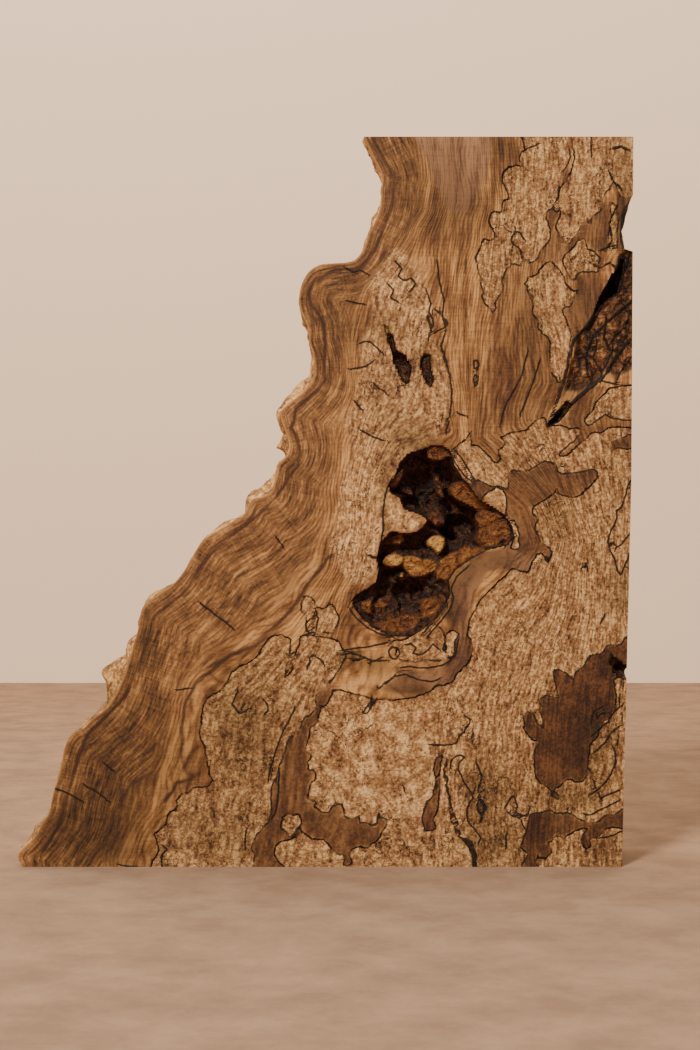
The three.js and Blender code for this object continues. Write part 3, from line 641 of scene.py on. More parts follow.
# Thin black zone lines that end in the open wood
zone_lines = {
    "centre_edge": [
        (437, 262), (440, 285), (444, 300), (442, 316), (446, 330), (441, 345), (447, 362), (450, 380),
        (452, 400), (449, 420), (446, 432),
    ],
    "centre_second": [(426, 290), (431, 303), (427, 318), (432, 332)],
    "centre_curl": [(396, 262), (402, 268), (398, 276), (405, 281), (411, 277), (416, 284), (410, 291)],
    "centre_curl_low": [(388, 284), (394, 290), (390, 297), (398, 302)],
    "corner_flow": [(592, 735), (600, 728), (608, 722), (614, 712), (622, 705)],
    "corner_flow_low": [(594, 752), (604, 744), (612, 732), (620, 726)],
    "corner_wave": [(590, 795), (602, 786), (610, 776), (616, 762), (614, 748)],
    "strip_left": [(447, 760), (444, 775), (447, 792), (452, 808), (458, 824), (461, 838)],
    "strip_bend": [(476, 762), (482, 776), (478, 790), (484, 806), (480, 822)],
    "left_mark": [(346, 268), (353, 272), (360, 270), (368, 274)],
    "flow_fold": [(238, 690), (232, 704), (240, 714), (250, 708)],
    "under_curl": [
        (405, 645), (411, 643), (416, 648), (413, 653), (420, 655), (428, 650), (433, 644), (438, 648),
    ],
    "under_fold": [(400, 668), (410, 666), (420, 668), (435, 667), (445, 664), (455, 655), (458, 640)],
    "under_edge": [(378, 689), (385, 684), (395, 676), (405, 674), (420, 680), (432, 682), (440, 678)],
    "knot": [(388, 652), (391, 647), (397, 648), (400, 653), (397, 659), (391, 658), (388, 652)],
    "rim_right": [(427, 637), (440, 622), (450, 609), (453, 599), (451, 588), (456, 577), (468, 566)],
    "rim_inner": [(423, 633), (436, 618), (446, 606), (449, 590)],
    "flow_string": [(340, 655), (352, 653), (362, 656), (372, 661), (386, 660)],
    "flow_under": [(340, 651), (356, 648), (372, 646), (388, 642)],
    "upper_fold": [(450, 452), (456, 464), (465, 476), (474, 483)],
    "upper_second": [(455, 450), (463, 460), (470, 472), (476, 481)],
    "lobe_rim": [(480, 512), (492, 509), (503, 514), (512, 527), (513, 538), (505, 546)],
    "tongue_line": [(392, 478), (387, 488), (384, 500), (383, 515), (383, 530), (381, 543)],
    "flow_spot": [(163, 846), (168, 850), (163, 852), (161, 858), (163, 880)],
    "flow_thin": [
        (295, 708), (291, 716), (287, 724), (283, 731), (280, 739), (275, 753), (270, 770), (268, 780),
    ],
    "flow_inner": [(279, 770), (278, 795), (277, 805), (275, 813), (272, 818)],
    "flow_mark": [(263, 700), (267, 704), (268, 710), (265, 713)],
    "flow_hook": [(245, 848), (245, 838), (246, 830)],
    "side_loop": [
        (524, 239), (520, 233), (516, 231), (512, 236), (511, 240), (513, 244), (516, 246), (519, 247),
        (521, 252),
    ],
    "top_crack": [(524, 150), (530, 147), (538, 144)],
    "finger_line": [(591, 130), (591, 150), (591.5, 157)],
    "seam_line": [(600, 250), (608, 247), (616, 245)],
    "flame_stripe_one": [
        (528, 350), (525, 362), (522, 375), (516, 387), (508, 400), (503, 412), (500, 425),
    ],
    "flame_stripe_two": [(540, 360), (535, 375), (530, 390), (525, 402), (520, 415)],
    "bark_crack_one": [(595, 330), (597, 345), (593, 358), (601, 372)],
    "bark_crack_two": [
        (631, 310), (625, 327), (617, 334), (612, 340), (613, 350), (608, 360), (602, 372), (600, 380),
        (590, 384), (582, 393), (575, 402), (563, 408), (555, 415), (550, 425),
    ],
    "bark_crack_three": [(600, 380), (608, 382), (617, 384)],
    "bark_crack_four": [(617, 380), (620, 372), (626, 364), (631, 358)],
    "stripe_line": [
        (441, 350), (443, 355), (445, 362), (448, 368), (450, 374), (451, 383), (452, 392), (451, 400),
        (450, 408), (449, 415), (447, 420),
    ],
    "stripe_loop_one": [(474, 360), (477, 360), (479, 364), (477, 370), (474, 367), (474, 360)],
    "stripe_loop_two": [(475, 374), (478, 377), (478, 383), (475, 386), (473, 380), (475, 374)],
    "stripe_dash": [(458, 413), (466, 416)],
    "stripe_thin": [(428, 311), (432, 318), (433, 325), (430, 332), (428, 340)],
    "stripe_hook": [(436, 310), (441, 315), (446, 320), (448, 324), (443, 328), (438, 330), (434, 333)],
    "side_curl": [
        (631, 480), (627, 487), (626, 495), (623, 503), (620, 509), (616, 511), (617, 518), (614, 525),
        (611, 530), (609, 536), (608, 541), (609, 547), (611, 552), (614, 558), (616, 564), (617, 570),
        (620, 575), (622, 574), (624, 567), (627, 561), (629, 555),
    ],
    "side_inner": [(612, 540), (614, 544), (618, 547), (622, 543), (626, 538), (630, 534)],
    "side_small": [(582, 567), (586, 563), (588, 570)],
    "side_dash": [(601, 622), (605, 615)],
    "corner_squiggle": [(591, 722), (592, 716), (594, 711), (597, 709), (603, 706)],
    "corner_squiggle_two": [(597, 718), (601, 713), (607, 713)],
    "corner_line": [(594, 781), (595, 787), (598, 791), (600, 799), (607, 795), (613, 793), (619, 790)],
    "base_line": [
        (505, 807), (508, 803), (511, 797), (514, 795), (516, 801), (517, 806), (515, 812), (519, 814),
        (523, 816), (527, 816), (530, 808),
    ],
    "base_line_two": [(508, 813), (512, 816), (518, 817), (521, 820), (523, 826), (525, 829)],
    "base_line_three": [(584, 814), (590, 815), (598, 811), (604, 808), (612, 804), (620, 800)],
    "base_line_four": [(600, 838), (608, 837), (616, 834), (622, 831)],
    "base_dash": [(506, 835), (506, 847)],
    "drop_line": [(430, 745), (438, 745), (446, 745), (455, 744), (458, 740)],
    "drop_side": [
        (443, 760), (443, 768), (446, 775), (448, 778), (447, 783), (449, 788), (448, 792), (450, 798),
        (450, 810), (451, 820), (455, 828), (456, 834), (460, 838), (466, 839),
    ],
    "long_patch_line": [
        (450, 765), (452, 759), (456, 756), (460, 755), (465, 757), (459, 763), (458, 769), (461, 775),
        (464, 782), (468, 788), (472, 794), (473, 798), (470, 801), (467, 808), (467, 815), (468, 822),
        (473, 827), (477, 832), (481, 838), (478, 843),
    ],
    "small_loop": [(479, 799), (484, 801), (486, 808), (483, 817), (478, 812), (477, 804), (479, 799)],
    "base_crack": [(462, 838), (467, 845), (472, 851), (475, 860), (475, 868)],
    "curly_dash_one": [(404, 788), (404, 791)],
    "curly_hook": [(395, 675), (390, 680), (385, 682), (382, 686), (379, 688)],
    "curly_loop": [
        (372, 697), (370, 703), (366, 708), (363, 713), (367, 714), (370, 709), (374, 702), (376, 700),
    ],
    "curly_tail": [(465, 716), (470, 719), (470, 724), (465, 728), (464, 733), (459, 735), (457, 740)],
    "centre_loop": [
        (307, 668), (308, 665), (310, 662), (309, 658), (314, 654), (317, 658), (321, 660), (324, 664),
    ],
    "centre_line": [(306, 620), (306, 630), (311, 634), (315, 636)],
    "speckled_inner": [(316, 611), (318, 618), (317, 626), (315, 634)],
    "pocket_line": [(360, 657), (366, 659), (371, 660), (377, 660), (382, 657)],
    "centre_arc": [(360, 343), (366, 341), (371, 342), (376, 347), (383, 354)],
    "centre_arc_two": [(350, 369), (357, 368), (366, 366), (373, 361)],
    "centre_dash": [(361, 430), (372, 436), (382, 440)],
    "centre_dash_two": [(355, 402), (362, 410)],
    "centre_dash_three": [(374, 384), (386, 393)],
    "check_one": [(348, 301), (356, 303), (364, 304)],
    "check_two": [(200, 603), (216, 615), (233, 628)],
    "check_three": [(276, 538), (283, 546)],
    "check_four": [(104, 763), (112, 770)],
    "check_five": [(84, 785), (96, 791), (108, 801)],
    "check_six": [(53, 788), (68, 793), (82, 801)],
    "check_seven": [(177, 690), (190, 688)],
    "check_eight": [(119, 865), (144, 868)],
    "rim_line": [(350, 609), (354, 615), (360, 621), (368, 628), (380, 634), (393, 637)],
}

# Set the places, in metres, and measure each of them against the outlines for the material
place = np.stack([(u - middle_u) * step, low.y + depth, (base_v - v) * step], -1)
slab_mesh.vertices.foreach_set("co", place.ravel())
slab_mesh.update()
slab = bpy.data.objects.new("burl_slab", slab_mesh)
bpy.context.scene.collection.objects.link(slab)
# The figure drifts sideways and up or down through the thickness, so sides and back show it shifted
through = gz * thickness / step
face_u, face_v = u, v
drift = smooth(0, 30, through)
lean = 0.25 * lumps(face_u * 0, face_v, 0, 90, 11)
u = face_u + lean * through + 9 * drift * lumps(face_u, face_v, through, 34, 12)
v = face_v + 0.3 * through + 13 * drift * lumps(face_u, face_v, through, 30, 13)
pale = np.full(count, -40.0)
for rim in pale_patches.values():
    pale = np.maximum(pale, inside(rim, u, v))
for rim in brown_patches.values():
    pale = np.minimum(pale, -inside(rim, u, v))
for rim in pale_bits.values():
    pale = np.maximum(pale, inside(rim, u, v))

# How brown each brown place is, from 0 for heartwood to 1 for solid brown
brownness = {
    "flow_brown": 0.82, "pocket_brown": 0.8, "corner_brown": 1.15, "base_brown": 0.92,
    "brown_drop": 0.75, "wedge": 0.7, "flame_brown": 0.38, "upper_brown": 0.65, "right_brown": 0.7,
    "diagonal_brown": 0.65, "flow_band": 0.8, "bark": 0.9,
}
brown = np.zeros(count)
for name, rim in {**brown_patches, **brown_heart}.items():
    brown = np.maximum(brown, brownness[name] * smooth(-1.5, 2.5, inside(rim, u, v)))

line = beside_any(zone_lines.values(), u, v)

# Open black cracks: half their width, and their path
cracks = [
    (1.3, [
        (612, 275), (606, 290), (597, 312), (583, 330), (573, 341), (569, 362), (563, 384), (553, 412),
        (549, 424),
    ]),
    (1.5, [(628, 342), (614, 360), (605, 375), (592, 386), (575, 400), (561, 414)]),
    (2.6, [(621, 260), (614, 282), (602, 302), (593, 318), (588, 328)]),
    (1.1, [(633, 300), (618, 312), (604, 325), (592, 338), (586, 356), (588, 376)]),
    (1.0, [(606, 318), (604, 338), (612, 352)]),
    (1.6, [(611, 654), (615, 666), (622, 679)]),
    (0.8, [(624, 682), (619, 700), (622, 718), (617, 745)]),
    (1.2, [(380, 557), (373, 557), (368, 555)]),
    (1.3, [(630, 252), (627, 262), (624, 272)]),
    (2.4, [(465, 840), (470, 843), (474, 856), (475, 868)]),
    (0.7, [(610, 149), (621, 146), (630, 151)]),
    (0.6, [(606, 163), (612, 179), (622, 190)]),
    (0.6, [(617, 205), (609, 222), (612, 240), (604, 252)]),
    (0.5, [(589, 262), (600, 268), (610, 262), (618, 270)]),
    (0.9, [(342, 657), (352, 660), (362, 659), (371, 664)]),
]
crack = np.full(count, 99.0)
for half, path in cracks:
    crack = np.minimum(crack, np.abs(beside(path, u, v)[0]) - half)
growth = beside_any(growth_lines.values(), u, v)

# Broad lighter and darker places, partly the wood's own tone and partly painted shade, as on the notch's
# wall that faces away from the light: across, down, their reach both ways, and how far in stops
shades = [
    (500, 564, 15, 10, -0.45), (588, 760, 10, 34, -0.3), (604, 860, 24, 12, 0.1), (505, 147, 12, 14, -0.35),
    (538, 325, 8, 16, -0.25), (402, 515, 14, 14, 0.3), (428, 815, 8, 24, 0.3), (565, 740, 24, 34, -0.1),
    (412, 690, 34, 9, -0.35), (484, 566, 16, 10, -0.2), (515, 330, 26, 70, -0.15), (565, 560, 24, 30, 0.12),
    (375, 745, 44, 50, 0.15), (575, 470, 26, 26, 0.1), (360, 500, 16, 50, 0.15), (622, 160, 13, 30, -0.6),
    (360, 664, 26, 7, -0.7), (545, 835, 20, 20, -0.1), (120, 790, 40, 50, -0.25), (335, 310, 22, 40, -0.3),
    (598, 415, 24, 12, -0.3), (478, 800, 14, 40, -0.4), (428, 815, 6, 20, 0.3), (566, 740, 22, 34, -0.3),
    (456, 800, 7, 40, 0.3), (532, 330, 17, 42, -0.65), (585, 300, 16, 26, -0.5), (545, 473, 26, 10, -0.45),
    (455, 170, 16, 34, -0.4), (460, 330, 14, 45, -0.35), (250, 720, 30, 50, -0.5), (90, 835, 45, 35, -0.4),
    # The deep dark spot on the notch's wall, at 625 across and 222 down, is painted shade
    (400, 430, 18, 18, -0.25), (625, 222, 8, 28, -2.2), (386, 478, 8, 24, -0.8), (384, 512, 5, 22, -0.7),
    (620, 590, 12, 22, -0.8), (620, 470, 14, 40, -0.35), (150, 812, 20, 22, 0.2), (145, 645, 16, 40, -0.35),
    (300, 700, 14, 30, -0.2), (345, 545, 20, 60, 0.15), (95, 830, 60, 45, -1.1), (115, 745, 40, 50, -0.9),
    (172, 765, 26, 45, -0.6), (440, 220, 34, 30, -1.1), (508, 150, 18, 30, -0.9), (478, 205, 15, 25, -0.8),
    (420, 165, 22, 30, -0.4), (600, 240, 14, 25, -0.5), (588, 300, 14, 30, -0.5), (594, 358, 14, 16, 0.1),
    (556, 352, 6, 30, 0.3), (565, 392, 18, 14, -0.9), (385, 325, 20, 14, -0.9), (420, 360, 16, 16, -0.7),
    (350, 330, 16, 22, -0.5), (415, 443, 24, 15, -1.2), (395, 400, 30, 40, -0.3), (488, 540, 22, 18, -0.8),
    (555, 520, 18, 30, -0.7), (462, 562, 14, 20, -0.9), (445, 592, 14, 22, -0.7), (352, 655, 16, 5, -1.2),
    (380, 668, 20, 8, -0.7), (520, 395, 30, 45, -0.45), (502, 458, 7, 7, -0.9), (405, 690, 24, 8, -0.5),
    (340, 590, 25, 40, -0.3), (485, 785, 22, 30, -1.0), (495, 840, 32, 26, -0.9), (602, 745, 20, 42, -0.9),
    (570, 797, 40, 14, -1.0), (605, 848, 20, 18, -0.9), (240, 735, 42, 65, -0.75),
    (215, 835, 48, 28, -0.65),
]
shade = np.zeros(count)
for su, sv, wide, tall, amount in shades:
    shade = shade + amount * np.exp(-(((u - su) / wide) ** 2) - ((v - sv) / tall) ** 2)

ledge = np.full(count, 0.12)
for outline, _, tone in pocket_parts.values():
    ledge = ledge + smooth(-0.6, 1.2, inside(outline, u, v)) * (tone - ledge)

flame = smooth(-2, 8, inside(brown_heart["flame_brown"], u, v))
centre = inside(centre_pale, u, v)
grey = smooth(-4, 3, inside(grey_streak, u, v))
grey = np.maximum(grey, 0.4 * smooth(-2, 2, inside(brown_heart["flow_band"], u, v)))
u, v = face_u, face_v
in_bark = smooth(-2, 4, inside(brown_heart["bark"], u, v))
notch_wall = (gx >= 1) & (gz > 0) & (v > 197) & (v < 249.9)
# How deep each place lies behind the grown edge, and how far along it, for the sapwood's grain and rays
edge_length = 1100
near_edge, along_edge = beside(edge[::4], u, v)
near_edge = np.abs(near_edge)
along_edge = np.interp(along_edge, range(len(edge[::4])), edge_run[::4]) * edge_length

# Year rings, from the grown edge to the right: how far one lies into the wood, and the line it follows
ring_guides = [
    (60, [
        (425, 137), (430, 180), (425, 210), (400, 250), (370, 290), (357, 340), (357, 390), (348, 420),
        (345, 460), (338, 490), (333, 530), (325, 565), (298, 606), (275, 624), (250, 646), (220, 663),
        (195, 685), (184, 707), (178, 740), (165, 790), (150, 830), (135, 867),
    ]),
    (110, [
        (455, 137), (458, 200), (452, 250), (447, 300), (446, 350), (450, 390), (448, 430), (400, 448),
        (380, 480), (374, 540), (368, 580), (345, 620), (335, 650), (318, 700), (305, 750), (300, 800),
        (290, 867),
    ]),
    (130, [
        (478, 137), (480, 200), (470, 250), (466, 300), (466, 400), (468, 440), (490, 480), (520, 510),
        (530, 545), (500, 565), (470, 590), (462, 630), (458, 660), (440, 690), (430, 750), (428, 867),
    ]),
    (160, [
        (497, 137), (500, 200), (492, 312), (485, 345), (480, 390), (476, 440), (500, 465), (540, 500),
        (555, 540), (540, 590), (510, 640), (490, 700), (480, 780), (480, 867),
    ]),
    (215, [
        (560, 137), (550, 240), (548, 262), (553, 340), (560, 385), (545, 417), (565, 470), (590, 540),
        (585, 620), (560, 700), (555, 867),
    ]),
    (270, [(640, 137), (640, 867)]),
]
levels, gaps, sides = [0.0], [near_edge], [np.ones(count, bool)]
for level, path in ring_guides:
    levels.append(level)
    gaps.append(np.abs(beside(path, u, v)[0]))
    sides.append(u > np.interp(v, *np.transpose([(b, a) for a, b in path])))
ring = np.zeros(count)
for i in range(len(levels) - 1):
    between = sides[i] & ~sides[i + 1]
    share = gaps[i] / (gaps[i] + gaps[i + 1] + 1e-6)
    ring = np.where(between, levels[i] + (levels[i + 1] - levels[i]) * share, ring)
ring = np.where(sides[-1], levels[-1], ring)

grown = (gx <= -1) & (gz > 0)
fields = {
    "pale": np.clip(pale, -30, 30),
    "centre": np.clip(centre, -30, 30),
    "brown": brown,
    "flame": flame,
    "grey": grey,
    "bark": np.maximum(in_bark, notch_wall),
    "grown": grown.astype(float),
    "line": np.clip(line, -12, 12),
    "line_near": np.clip(np.abs(line), 0, 12),
    "growth": np.clip(growth, -20, 20),
    "growth_near": np.clip(np.abs(growth), 0, 20),
    "crack": np.clip(crack, -6, 12),
    "edge": np.clip(near_edge, 0, 200),
    "along": along_edge,
    "ring": ring,
    "shade": shade,
    "sunk": sunk / mm,
    "ledge": ledge,
}
for name, values in fields.items():
    layer = slab_mesh.attributes.new(name, "FLOAT", "POINT")
    layer.data.foreach_set("value", values.astype(np.float32))

slab_mesh.shade_smooth()
slab_mesh.set_sharp_from_angle(angle=math.radians(50))


def add(tree, kind, inputs=None, **settings):
    """A node in a material, with its sockets set to values or fed by other nodes."""
    made = tree.nodes.new(kind)
    for name, value in settings.items():
        setattr(made, name, value)
    for name, value in (inputs or {}).items():
        if isinstance(value, bpy.types.NodeSocket):
            tree.links.new(value, made.inputs[name])
        else:
            made.inputs[name].default_value = value
    return made


def calc(tree, how, a, b=0.0, c=0.0):
    return add(tree, "ShaderNodeMath", {0: a, 1: b, 2: c}, operation=how).outputs[0]


def blend(tree, *parts):
    """The sum of several values, each with its own share."""
    total = 0.0
    for value, share in parts:
        total = calc(tree, "MULTIPLY_ADD", value, share, total)
    return total


def span(tree, value, start, end, low=0.0, high=1.0):
    """A smooth step of a value from low to high."""
    inputs = {"Value": value, "From Min": start, "From Max": end, "To Min": low, "To Max": high}
    return add(tree, "ShaderNodeMapRange", inputs, interpolation_type="SMOOTHSTEP").outputs["Result"]


def field(tree, name):
    return add(tree, "ShaderNodeAttribute", attribute_name=name).outputs["Fac"]


def noise(tree, vector, scale, detail=2.0, rough=0.5, distortion=0.0, across=None, fineness=0.0):
    """Soft noise. With across, it changes quickly over that field, and slowly along it."""
    inputs = {
        "Vector": vector, "Scale": scale, "Detail": detail, "Roughness": rough, "Distortion": distortion}
    if across is None:
        return add(tree, "ShaderNodeTexNoise", inputs, noise_dimensions="3D").outputs["Fac"]
    inputs["W"] = calc(tree, "MULTIPLY", across, fineness / scale)
    return add(tree, "ShaderNodeTexNoise", inputs, noise_dimensions="4D").outputs["Fac"]


def linear(colour):
    """A colour of 0 to 255 parts, as the light it gives back."""
    parts = (c / 255 for c in colour)
    return (*(c / 12.92 if c < 0.04045 else ((c + 0.055) / 1.055) ** 2.4 for c in parts), 1)


def ramp(tree, value, *stops):
    """Colours that follow each other over a value."""
    made = add(tree, "ShaderNodeValToRGB", {"Fac": value})
    stop_list = made.color_ramp.elements
    while len(stop_list) < len(stops):
        stop_list.new(0.5)
    for stop, (at, colour) in zip(stop_list, stops):
        stop.position, stop.color = at, linear(colour)
    return made.outputs["Color"]


def mix(tree, share, a, b):
    return add(tree, "ShaderNodeMix", {0: share, 6: a, 7: b}, data_type="RGBA").outputs[2]


wood = bpy.data.materials.new("spalted_maple")
wood.use_nodes = True
tree = wood.node_tree
shader = tree.nodes["Principled BSDF"]
# Places in the front view's steps, so that the scale of a noise is its lumps in a step
here = add(tree, "ShaderNodeTexCoord").outputs["Object"]
at = add(tree, "ShaderNodeVectorMath", {0: here, "Scale": 1 / step}, operation="SCALE").outputs[0]

# Noises that the parts of the figure share. Those across a ring, a ray or a height run along it
wobble = calc(tree, "MULTIPLY_ADD", noise(tree, at, 0.15, 5, 0.68), 5.0, -2.5)
ring = field(tree, "ring")
height = add(tree, "ShaderNodeSeparateXYZ", {0: at}).outputs["Z"]
streak = noise(tree, at, 0.045, 4, 0.65, 0.15, ring, 0.34)
fine = noise(tree, at, 0.03, 2, 0.6, 0.1, ring, 0.75)
band = noise(tree, at, 0.012, 3, 0.55, 0.1, ring, 0.10)
ray = noise(tree, at, 0.03, 2, 0.55, 0.1, field(tree, "along"), 0.8)
ripple = noise(tree, at, 0.05, 2, 0.5, 0.0, height, 0.62)
curl = noise(tree, at, 0.085, 3, 0.62, 0.5, ring, 0.40)
grit = noise(tree, at, 0.36, 3, 0.62, 0.5)
cloud = noise(tree, at, 0.045, 2, 0.5)
sway = calc(tree, "MULTIPLY_ADD", noise(tree, at, 0.012, 2, 0.5), 34.0, calc(tree, "MULTIPLY", ring, 0.95))
lines = calc(tree, "POWER", calc(tree, "ABSOLUTE", calc(tree, "SINE", sway)), 0.6)

# Heartwood with its rings, and the solid brown places
figure = blend(
    tree, (streak, 0.33), (band, 0.33), (fine, 0.15), (ripple, 0.08), (grit, 0.05), (lines, 0.07))
heart = ramp(
    tree, figure,
    (0.42, (66, 36, 15)), (0.475, (112, 71, 36)), (0.525, (146, 99, 55)), (0.60, (204, 152, 94)))
mottle = blend(tree, (grit, 0.30), (fine, 0.22), (streak, 0.20), (cloud, 0.16), (band, 0.12))
solid = ramp(tree, mottle, (0.41, (40, 20, 8)), (0.49, (74, 42, 20)), (0.57, (112, 70, 38)))
brown = mix(tree, field(tree, "brown"), heart, solid)

# Pale torn wood, with dark flecks and winding black threads
curls = blend(tree, (curl, 0.31), (grit, 0.33), (streak, 0.13), (fine, 0.10), (cloud, 0.09), (lines, 0.04))
curls = calc(tree, "ADD", curls, -0.010)
torn = ramp(
    tree, curls,
    (0.40, (66, 38, 18)), (0.45, (126, 84, 47)), (0.505, (166, 120, 75)), (0.575, (226, 180, 124)))
fleck = noise(tree, at, 0.30, 1.5, 0.5, 0.6, ring, 0.62)
flecked = span(tree, noise(tree, at, 0.04, 2, 0.5), 0.45, 0.60)
flecks = calc(tree, "MULTIPLY", span(tree, fleck, 0.30, 0.38, 1.0, 0.0), flecked)
torn = mix(tree, calc(tree, "MULTIPLY", flecks, 0.5), torn, linear((46, 26, 12)))
winding = calc(tree, "ABSOLUTE", calc(tree, "SUBTRACT", noise(tree, at, 0.045, 4, 0.6, 0.5), 0.5))
wound = span(tree, noise(tree, at, 0.024, 1, 0.5), 0.52, 0.56)
winding = calc(tree, "MULTIPLY", span(tree, winding, 0.004, 0.012, 0.9, 0.0), wound)
torn = mix(tree, winding, torn, linear((26, 14, 8)))
pale = calc(tree, "ADD", field(tree, "pale"), wobble)
colour = mix(tree, span(tree, field(tree, "centre"), -2.0, 5.0), brown, torn)
colour = mix(tree, span(tree, pale, -0.6, 0.6), colour, torn)

# Sapwood along the grown edge, whose grain follows the edge and whose rays cross it
deep = field(tree, "edge")
grain = blend(
    tree, (noise(tree, at, 0.05, 4, 0.65, 0.15, deep, 0.24), 0.36),
    (noise(tree, at, 0.03, 2, 0.6, 0.1, deep, 0.62), 0.28), (ray, 0.14), (cloud, 0.10), (grit, 0.12))
grain = calc(tree, "MULTIPLY_ADD", lines, 0.04, calc(tree, "ADD", grain, -0.030))
sap = ramp(
    tree, grain,
    (0.40, (54, 31, 13)), (0.46, (98, 63, 32)), (0.525, (134, 90, 50)), (0.61, (192, 141, 86)))
colour = mix(tree, span(tree, ring, 40.0, 60.0, 1.0, 0.0), colour, sap)

# The grey streak at the top, the dark flames, the growth lines and a painted highlight on the rim of the
# grown edge
greyed = ramp(tree, figure, (0.41, (88, 58, 37)), (0.48, (122, 85, 57)), (0.56, (164, 119, 84)))
colour = mix(tree, field(tree, "grey"), colour, greyed)
flaming = noise(tree, at, 0.014, 2, 0.5, 0.2, ring, 0.085)
flaming = calc(tree, "MULTIPLY", span(tree, flaming, 0.40, 0.50, 0.42, 0.0), field(tree, "flame"))
colour = mix(tree, flaming, colour, linear((74, 42, 20)))
growth = calc(tree, "ABSOLUTE", calc(tree, "MULTIPLY_ADD", wobble, 0.8, field(tree, "growth")))
growth = calc(
    tree, "ADD", span(tree, growth, 0.5, 3.0, 0.75, 0.0), span(tree, growth, 1.0, 8.0, 0.2, 0.0))
growth = calc(tree, "MULTIPLY", growth, span(tree, noise(tree, at, 0.02, 2, 0.5), 0.36, 0.52, 0.6, 1.0))
growth = calc(tree, "MULTIPLY", growth, span(tree, field(tree, "growth_near"), 9.0, 12.0, 1.0, 0.0))
colour = mix(tree, growth, colour, linear((66, 36, 18)))
# A painted highlight: the front's outermost rim along the grown edge is lightened where the light catches
# it
colour = mix(tree, span(tree, field(tree, "edge"), 0.4, 2.4, 0.45, 0.0), colour, linear((206, 146, 84)))

# Bark in the seam and on the notch's wall, split into plates
crumble = noise(tree, at, 0.13, 4, 0.65, 0.8)
bent = add(tree, "ShaderNodeTexNoise", {"Vector": at, "Scale": 0.07, "Detail": 2.0}).outputs["Color"]
bent = add(
    tree, "ShaderNodeVectorMath", {0: bent, 1: (22, 22, 30), 2: at}, operation="MULTIPLY_ADD").outputs[0]
plates = add(tree, "ShaderNodeTexVoronoi", {"Vector": bent, "Scale": 0.03}, feature="DISTANCE_TO_EDGE")
plates = plates.outputs["Distance"]
bark = ramp(
    tree, blend(tree, (crumble, 0.7), (streak, 0.3)),
    (0.40, (44, 24, 12)), (0.48, (88, 53, 28)), (0.55, (122, 77, 42)), (0.64, (190, 134, 80)))
split = calc(tree, "MULTIPLY_ADD", grit, -0.16, calc(tree, "ADD", plates, 0.07))
bark = mix(tree, span(tree, split, -0.005, 0.035, 0.9, 0.0), bark, linear((14, 7, 3)))
colour = mix(tree, field(tree, "bark"), colour, bark)

# The bare spiny wood under the bark that is gone from the grown edge
spines = noise(tree, at, 0.09, 4, 0.7, 1.4)
grown = ramp(
    tree, blend(tree, (spines, 0.6), (grit, 0.25), (cloud, 0.15)),
    (0.40, (84, 54, 30)), (0.48, (150, 106, 62)), (0.54, (204, 150, 90)), (0.62, (240, 196, 126)))
colour = mix(tree, field(tree, "grown"), colour, grown)

# Broad tone of the wood and painted shade, in stops, a little stronger in green and blue so that dark
# places turn browner
stops = field(tree, "shade")
shares = {axis: calc(tree, "POWER", base, stops) for axis, base in (("X", 2.0), ("Y", 2.12), ("Z", 2.5))}
shares = add(tree, "ShaderNodeCombineXYZ", shares).outputs[0]
colour = add(tree, "ShaderNodeVectorMath", {0: colour, 1: shares}, operation="MULTIPLY").outputs[0]

# Black lines round the pale patches, the thin zone lines and the open cracks
rim = calc(tree, "ABSOLUTE", pale)
rim_gaps = span(tree, noise(tree, at, 0.09, 2, 0.5), 0.36, 0.50, 0.35, 1.0)
rim = calc(tree, "MULTIPLY", span(tree, rim, 0.4, 1.2, 1.0, 0.0), rim_gaps)
off = calc(tree, "ABSOLUTE", calc(tree, "ADD", field(tree, "line"), calc(tree, "MULTIPLY", wobble, 0.6)))
thread = span(tree, off, 0.4, 1.3, 1.0, 0.0)
thread = calc(tree, "MULTIPLY", thread, span(tree, field(tree, "line_near"), 2.5, 4.5, 1.0, 0.0))
black = calc(tree, "MAXIMUM", rim, thread)
opened = span(tree, calc(tree, "MULTIPLY_ADD", wobble, 0.9, field(tree, "crack")), -0.4, 0.6, 1.0, 0.0)
black = calc(tree, "MAXIMUM", black, opened)
colour = mix(tree, calc(tree, "MULTIPLY", black, 0.96), colour, linear((18, 9, 5)))

# The hollows, dark and crumbled, with lighter sound wood on the ledges
flake = noise(tree, bent, 0.14, 3, 0.6)
sound = blend(tree, (field(tree, "ledge"), 0.85), (flake, 1.0), (grit, 0.5), (crumble, 0.4))
cavity = ramp(
    tree, calc(tree, "ADD", sound, -0.88), (0.0, (14, 9, 8)), (0.16, (54, 35, 28)), (0.34, (100, 58, 31)),
    (0.55, (140, 88, 42)), (0.92, (206, 156, 84)))
inside_hollow = span(tree, field(tree, "sunk"), 0.1, 1.6)
colour = mix(tree, inside_hollow, colour, cavity)
tree.links.new(colour, shader.inputs["Base Color"])

# Dull wood, a little glossier in the hollows, and raised or sunk grain
gloss = span(tree, calc(tree, "MULTIPLY", inside_hollow, grit), 0.0, 0.6, 0.70, 0.34)
tree.links.new(gloss, shader.inputs["Roughness"])
shader.inputs["Specular IOR Level"].default_value = 0.3
roughed = calc(tree, "ADD", span(tree, pale, -1.0, 1.0, 0.25, 1.0), inside_hollow)
raised = blend(
    tree, (calc(tree, "MULTIPLY", grit, roughed), 0.8), (calc(tree, "MULTIPLY", curl, roughed), 0.6),
    (fine, 0.15), (black, -0.25), (opened, -2.0))
lumpy = blend(tree, (crumble, 1.0), (flake, 1.4), (span(tree, split, 0.0, 0.12), field(tree, "bark")))
lumpy = calc(tree, "MULTIPLY", lumpy, calc(tree, "ADD", inside_hollow, field(tree, "bark")))
raised = calc(tree, "MULTIPLY_ADD", lumpy, 2.0, raised)
